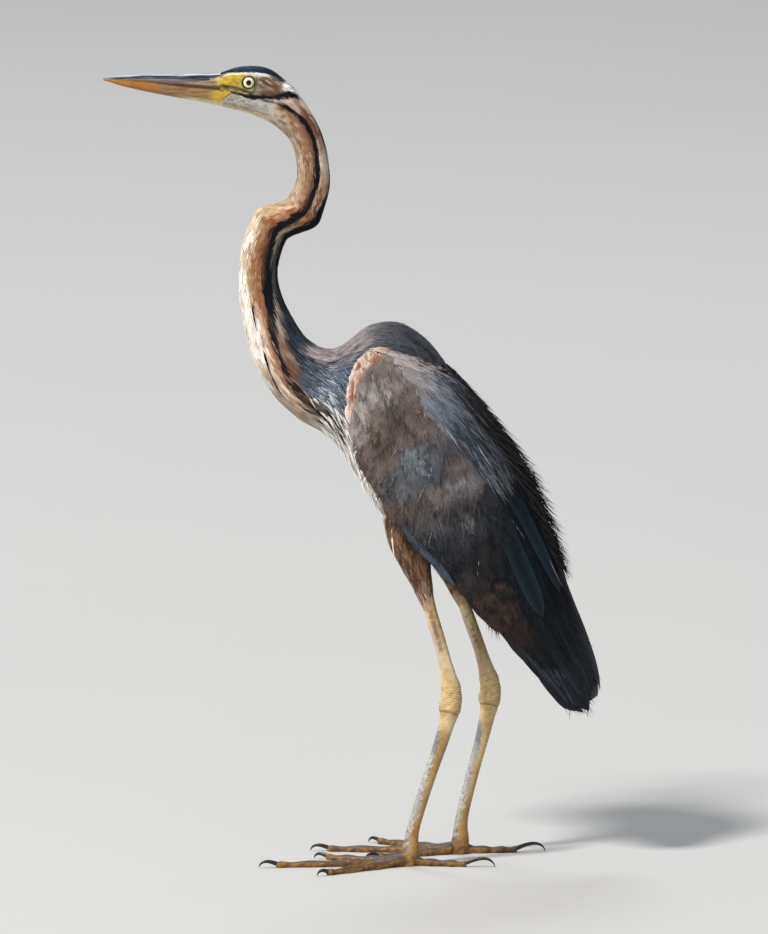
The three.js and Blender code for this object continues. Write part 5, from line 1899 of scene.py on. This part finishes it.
# ---------------------------------------------------------------- legs
def leg_colour(points, share, angle):
    """share runs from 0 under the thigh to 1 at the foot. The tarsus is grey in front, with a dark net."""
    fine, broad = mottle(points, 2.4, 51), mottle(points * [1, 1, 0.4], 9, 52)
    degrees = turned(angle)
    tone = mix("ead6ab", "c4a772", 0.4 + 0.5 * broad)
    tone = mix(tone, "c2a34c", near(degrees, 50, 30) * near(share, 0.1, 0.13) * (0.4 + 0.4 * fine))
    stain = near(degrees, 98, 30) * near(share, 0.12, 0.13) * smooth(fine + 0.9 * broad, -0.7, 1.2)
    tone = layered(
        tone,
        ("7a625c", stain * 0.8),
        ("cbb5a4", smooth(degrees, 95, 130) * near(share, 0.17, 0.14) * 0.6),
        (mix("e6c88c", "caa868", 0.4 + 0.5 * fine), near(share, 0.375, 0.11) * 0.85),
    )
    tarsus = smooth(share, 0.45, 0.5)
    tone = mix(tone, mix("c9ab6c", "a68345", 0.4 + 0.5 * broad), tarsus * 0.8)
    tone = mix(tone, "9b6c2e", tarsus * smooth(share + 0.05 * broad, 0.62, 0.95) * 0.6)
    boundary = keyed([(0.46, 150), (0.5, 112), (0.62, 92), (0.8, 84), (0.9, 110), (1.0, 150)], share)
    boundary = boundary + 9 * fine + 6 * broad
    grey = mix("a7a29a", "c9c4ba", 0.4 + 0.4 * broad)
    grey = mix(grey, "6f767e", near(share, 0.53, 0.06) * 0.75)
    net = fade(np.abs(mottle(points * [1, 1, 0.6], 1.5, 55)), 0.05, 0.4)
    grey = mix(grey, "5d554e", net * np.clip(0.5 + 0.5 * broad, 0.1, 0.8))
    grey = mix(grey, "5a4a3a", smooth(share + 0.03 * fine, 0.86, 0.93) * 0.7)
    tone = mix(tone, grey, smooth(degrees, boundary - 5, boundary + 5) * smooth(share, 0.455, 0.49))
    foot = mix("9c6e2c", "523517", 0.5 + 0.6 * fine + 0.3 * broad)
    return mix(tone, foot, smooth(share, 0.89, 0.96) * 0.9)


def scute(distance, pitch):
    """The height of overlapping plates along a distance, each rising and then dropping sharply."""
    phase = np.mod(distance / pitch, 1)
    return phase**0.6 * fade(phase, 0.86, 1.0)


def leg_shell(leg):
    """The bare leg from the thigh's feathers to the foot, with its scutes, wrinkles and ankle."""
    rows = np.array(leg_rows(leg))
    surface = Surface(tube(rows), len(rows) - 1)
    fine_places = np.linspace(0, len(rows) - 1, 800)
    run = run_along(sample(rows, fine_places)[:, 0:3])
    # Rings stand closest at the wrinkled ankle.
    spread = [(0, 0.3, 90), (0.3, 0.46, 180), (0.46, 1, 230)]
    shares = np.concatenate([np.linspace(a, b, n, endpoint=b == 1) for a, b, n in spread])
    places = np.interp(shares * run[-1], run, fine_places)
    place, angle = lattice(places, full_turn(48))
    point, _, _, out, _ = surface.frame(place, angle)
    share = shares[:, None] * np.ones_like(angle)
    rough = mottle(point, 5, 53)
    distance = share * run[-1] + 0.5 * np.sin(2.0 * angle) + 0.5 * rough
    degrees = turned(angle)
    front, back = smooth(degrees, 100, 130), fade(degrees, 70, 115)
    height = 0.4 * front * scute(distance, SCUTE_LENGTH) * smooth(share, 0.45, 0.5)
    cells = np.sin(distance * 2.7) * np.sin(angle * 9 + 1.2 * np.sin(distance * 1.3))
    height = height + 0.14 * (1 - front) * cells * (1 - near(share, 0.375, 0.1))
    # The ankle: a knob in front below a notch, a fuller heel, and wrinkles across it.
    height = height + front * (1.3 * near(share, 0.4, 0.03) - 0.9 * near(share, 0.352, 0.03))
    height = height + back * 1.1 * near(share, 0.385, 0.05)
    height = height - 0.7 * near(degrees, 95, 30) * near(share, 0.37, 0.035)
    wrinkled = np.maximum(back * near(share, 0.375, 0.09), 0.75 * front * near(share, 0.39, 0.05))
    wrinkled = np.maximum(wrinkled, 0.45 * near(share, 0.39, 0.06))
    wave = 0.5 + 0.5 * np.sin(distance * 2 * math.pi / WRINKLE_LENGTH)
    height = height + 0.42 * wrinkled * (wave**0.6 - 0.5)
    crease = near(share + 0.004 * rough, 0.418, 0.006)
    height = height - 0.5 * crease
    point = point + out * height[..., None]
    point[..., 2] = np.maximum(point[..., 2], 0)
    tone = leg_colour(point, share, angle)
    # Painted shade in the grooves of the ankle's wrinkles and in the crease.
    groove = np.clip(wrinkled * fade(wave, 0.1, 0.55) + 0.8 * crease, 0, 1)
    tone = mix(tone, "5e4019", groove * 0.6)
    return shell(point, tone, surface.unwrap(place, angle))


def toe_surface(leg, toe, stations):
    """The surface through (distance, height, radius, flatness) stations along a toe."""
    turn = math.radians(toe["turn"])
    root = np.array([leg["foot"][0], leg["foot"][1], 0.0])
    ahead = np.array([leg["side"] * math.sin(turn), -math.cos(turn), 0])
    rows = [[*(root + ahead * d + [0, 0, h]), r, r * flat] for d, h, r, flat in stations]
    return Surface(tube(rows, (-ahead[1], ahead[0], 0)), len(rows) - 1)


def toe_shell(leg, toe):
    """A toe with thick pads between its joints and plates along its top."""
    stations = []
    for i, share in enumerate(TOE_JOINTS):
        taper = TOE_RADIUS + (TOE_TIP_RADIUS - TOE_RADIUS) * share
        radius = taper * 0.6 if share == 1 else taper + (0.65 if i % 2 else -0.45)
        radius = radius * (1.35 if i == 0 else 1.12 if i == 1 else 1)
        stations.append((toe["length"] * share, taper - TOE_REST + 3.4 * (1 - share) ** 4, radius, 0.95))
    surface = toe_surface(leg, toe, stations)
    steps = int(toe["length"] * 1.6)
    place, angle = lattice(np.linspace(0, surface.last, steps), full_turn(28))
    point, _, _, out, _ = surface.frame(place, angle)
    share = keyed(list(enumerate(TOE_JOINTS)), place)
    distance = share * toe["length"]
    degrees = turned(angle)
    top_is_back = surface.frame(np.array([2.0]), np.array([0.0]))[3][0, 2] > 0
    over = smooth(degrees, 120, 80) if top_is_back else smooth(degrees, 60, 100)
    plate = scute(distance + 0.5 * np.cos(angle * 2), TOE_SCUTE_LENGTH)
    height = 0.34 * over * plate
    height = height + 0.14 * (1 - over) * np.sin(distance * 3.1) * np.sin(angle * 8)
    point = point + out * height[..., None]
    point[..., 2] = np.maximum(point[..., 2], 0)
    fine, broad = mottle(point, 2.2, 61), mottle(point, 7, 62)
    tone = mix("a5742b", "5c3d1b", 0.45 + 0.3 * broad + 0.35 * fine)
    bars = fade(scute(distance + 1.5 * broad, TOE_SCUTE_LENGTH), 0.1, 0.4)
    tone = mix(tone, "33231a", bars * (0.14 + 0.2 * fine))
    plates = mix("2b251f", "665c4f", plate * 0.8 + 0.3 * fine)
    crest = smooth(degrees, 72, 46) if top_is_back else smooth(degrees, 108, 134)
    tone = mix(tone, plates, smooth(crest + 0.3 * fine, 0.35, 0.75) * (1 - 0.5 * smooth(share, 0.8, 0.95)))
    tone = mix(tone, "3a2c1c", (1 - over) * smooth(fine, 0.7, 1.1) * 0.5)
    return shell(point, tone, surface.unwrap(place, angle) * [1, 0.5])


def add_legs(material):
    for name, leg in LEGS.items():
        chunks = [leg_shell(leg)] + [toe_shell(leg, toe) for toe in TOES.values()]
        piece = make_piece(f"leg_{name}", chunks, material)
        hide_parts(f"shank_{name}", f"tarsus_{name}", *(f"toe_{toe}_{name}" for toe in TOES))


def add_claws(material):
    """Claws that leave each toe level, arch, and point down."""
    steps = 8
    start = TOE_TIP_RADIUS - TOE_REST + 0.4
    for name, leg in LEGS.items():
        chunks = []
        for toe in TOES.values():
            stations = []
            for share in np.linspace(0, 1, steps + 1):
                along = toe["length"] - 3 + toe["claw"] * math.sin(1.45 * share)
                arch = toe["claw"] * 0.2 * math.sin(math.pi * share)
                radius = CLAW_RADIUS * (1 - 0.86 * share**1.5)
                stations.append((along, start + arch - (start - 0.7) * share**2, radius, 0.8))
            surface = toe_surface(leg, toe, stations)
            place, angle = lattice(np.linspace(0, surface.last, 40), full_turn(20))
            point = surface.at(place, angle)
            point[..., 2] = np.maximum(point[..., 2], 0)
            tone = mix("1b1a1c", "4a4038", smooth(2 - place, 0, 2) * 0.6 + 0.2 * mottle(point, 3, 71))
            chunks.append(shell(point, tone, surface.unwrap(place, angle)))
        piece = make_piece(f"claws_{name}", chunks, material)
        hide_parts(*(f"claw_{toe}_{name}" for toe in TOES))


# ---------------------------------------------------------------- studio
def add_floor():
    """A plain pale floor, faintly clouded."""
    mesh = bpy.data.meshes.new("floor")
    reach = 30
    corners = [(-reach, -reach, 0), (reach, -reach, 0), (reach, reach, 0), (-reach, reach, 0)]
    mesh.from_pydata(corners, [], [(0, 1, 2, 3)])
    floor = bpy.data.objects.new("floor", mesh)
    bpy.context.scene.collection.objects.link(floor)
    s = Shader("floor")
    place = s.place()
    cloud = s.noise(place, 1.2, 3.0)
    colour = s.blend("MIX", cloud, (0.5, 0.5, 0.495, 1), (0.53, 0.53, 0.525, 1))
    mesh.materials.append(s.finish(Base_Color=colour, Roughness=0.85))


def add_light(name, place, target, size, power, tint):
    """A round soft light at a place, turned to its target, in watts."""
    light = bpy.data.lights.new(name, "AREA")
    light.shape = "DISK"
    light.size = size
    light.energy = power
    light.color = tint
    lamp = bpy.data.objects.new(name, light)
    bpy.context.scene.collection.objects.link(lamp)
    lamp.location = place
    way = unit(np.array(target) - np.array(place))
    lamp.rotation_euler = (math.acos(-way[2]), 0, math.atan2(way[1], way[0]) - math.pi / 2)


def add_studio():
    """The floor, a warm key from the bird's left, a weak fill, a cool rim and a pale sky."""
    add_floor()
    middle = (0, 0.03, 0.42)
    add_light("key", (6.6, -6.6, 11.4), middle, 2.4, 2450, (1.0, 0.965, 0.92))
    add_light("fill", (2.8, -4.2, 0.9), middle, 2.6, 22, (0.93, 0.96, 1.0))
    add_light("rim", (-5.2, -1.2, 7.0), middle, 2.8, 190, (0.92, 0.96, 1.0))
    world = bpy.data.worlds.new("studio")
    world.use_nodes = True
    background = world.node_tree.nodes["Background"]
    background.inputs["Color"].default_value = (0.86, 0.89, 0.93, 1)
    background.inputs["Strength"].default_value = 0.42
    bpy.context.scene.world = world
    bpy.context.scene.view_settings.view_transform = "Standard"


def add_camera():
    """Level with the bird's left side and a little above it, from far away."""
    distance, height = 20.0, math.radians(8)
    target = np.array([0, 0.0294, 0.3656])
    data = bpy.data.cameras.new("camera")
    data.sensor_fit = "HORIZONTAL"
    data.sensor_width = 36
    frame_width = 0.7066
    data.lens = data.sensor_width * distance / frame_width
    camera = bpy.data.objects.new("camera", data)
    bpy.context.scene.collection.objects.link(camera)
    camera.location = target + distance * np.array([math.cos(height), 0, math.sin(height)])
    camera.rotation_euler = (math.pi / 2 - height, 0, math.pi / 2)
    data.clip_end = 100
    bpy.context.scene.camera = camera


# ---------------------------------------------------------------- assembly
soft = plumage("soft_feathers", 0.72)
sleek = plumage("sleek_feathers", 0.46, barb=1.3, sheen=0.0)
glossy = plumage("glossy_feathers", 0.4, sheen=0.0)
skin = skin_material()
horny = horn("bill_horn")

add_camera()
add_studio()
add_skin(skin)
add_eyes(eye_material(), skin)
add_bill(horny)
add_head_feathers(soft, glossy)
add_neck_feathers(soft)
add_breast_plumes(soft)
add_shoulder_wisps(soft)
add_trunk_feathers(soft)
for wing in wings:
    add_coverts(wing, soft)
    add_flight_feathers(wing, sleek)
    add_scapulars(wing, soft)
add_back_plumes(soft)
add_tail_feathers(sleek)
add_thigh_feathers(soft)
add_legs(scales("leg_skin"))
add_claws(horn("claw_horn", 0.28))
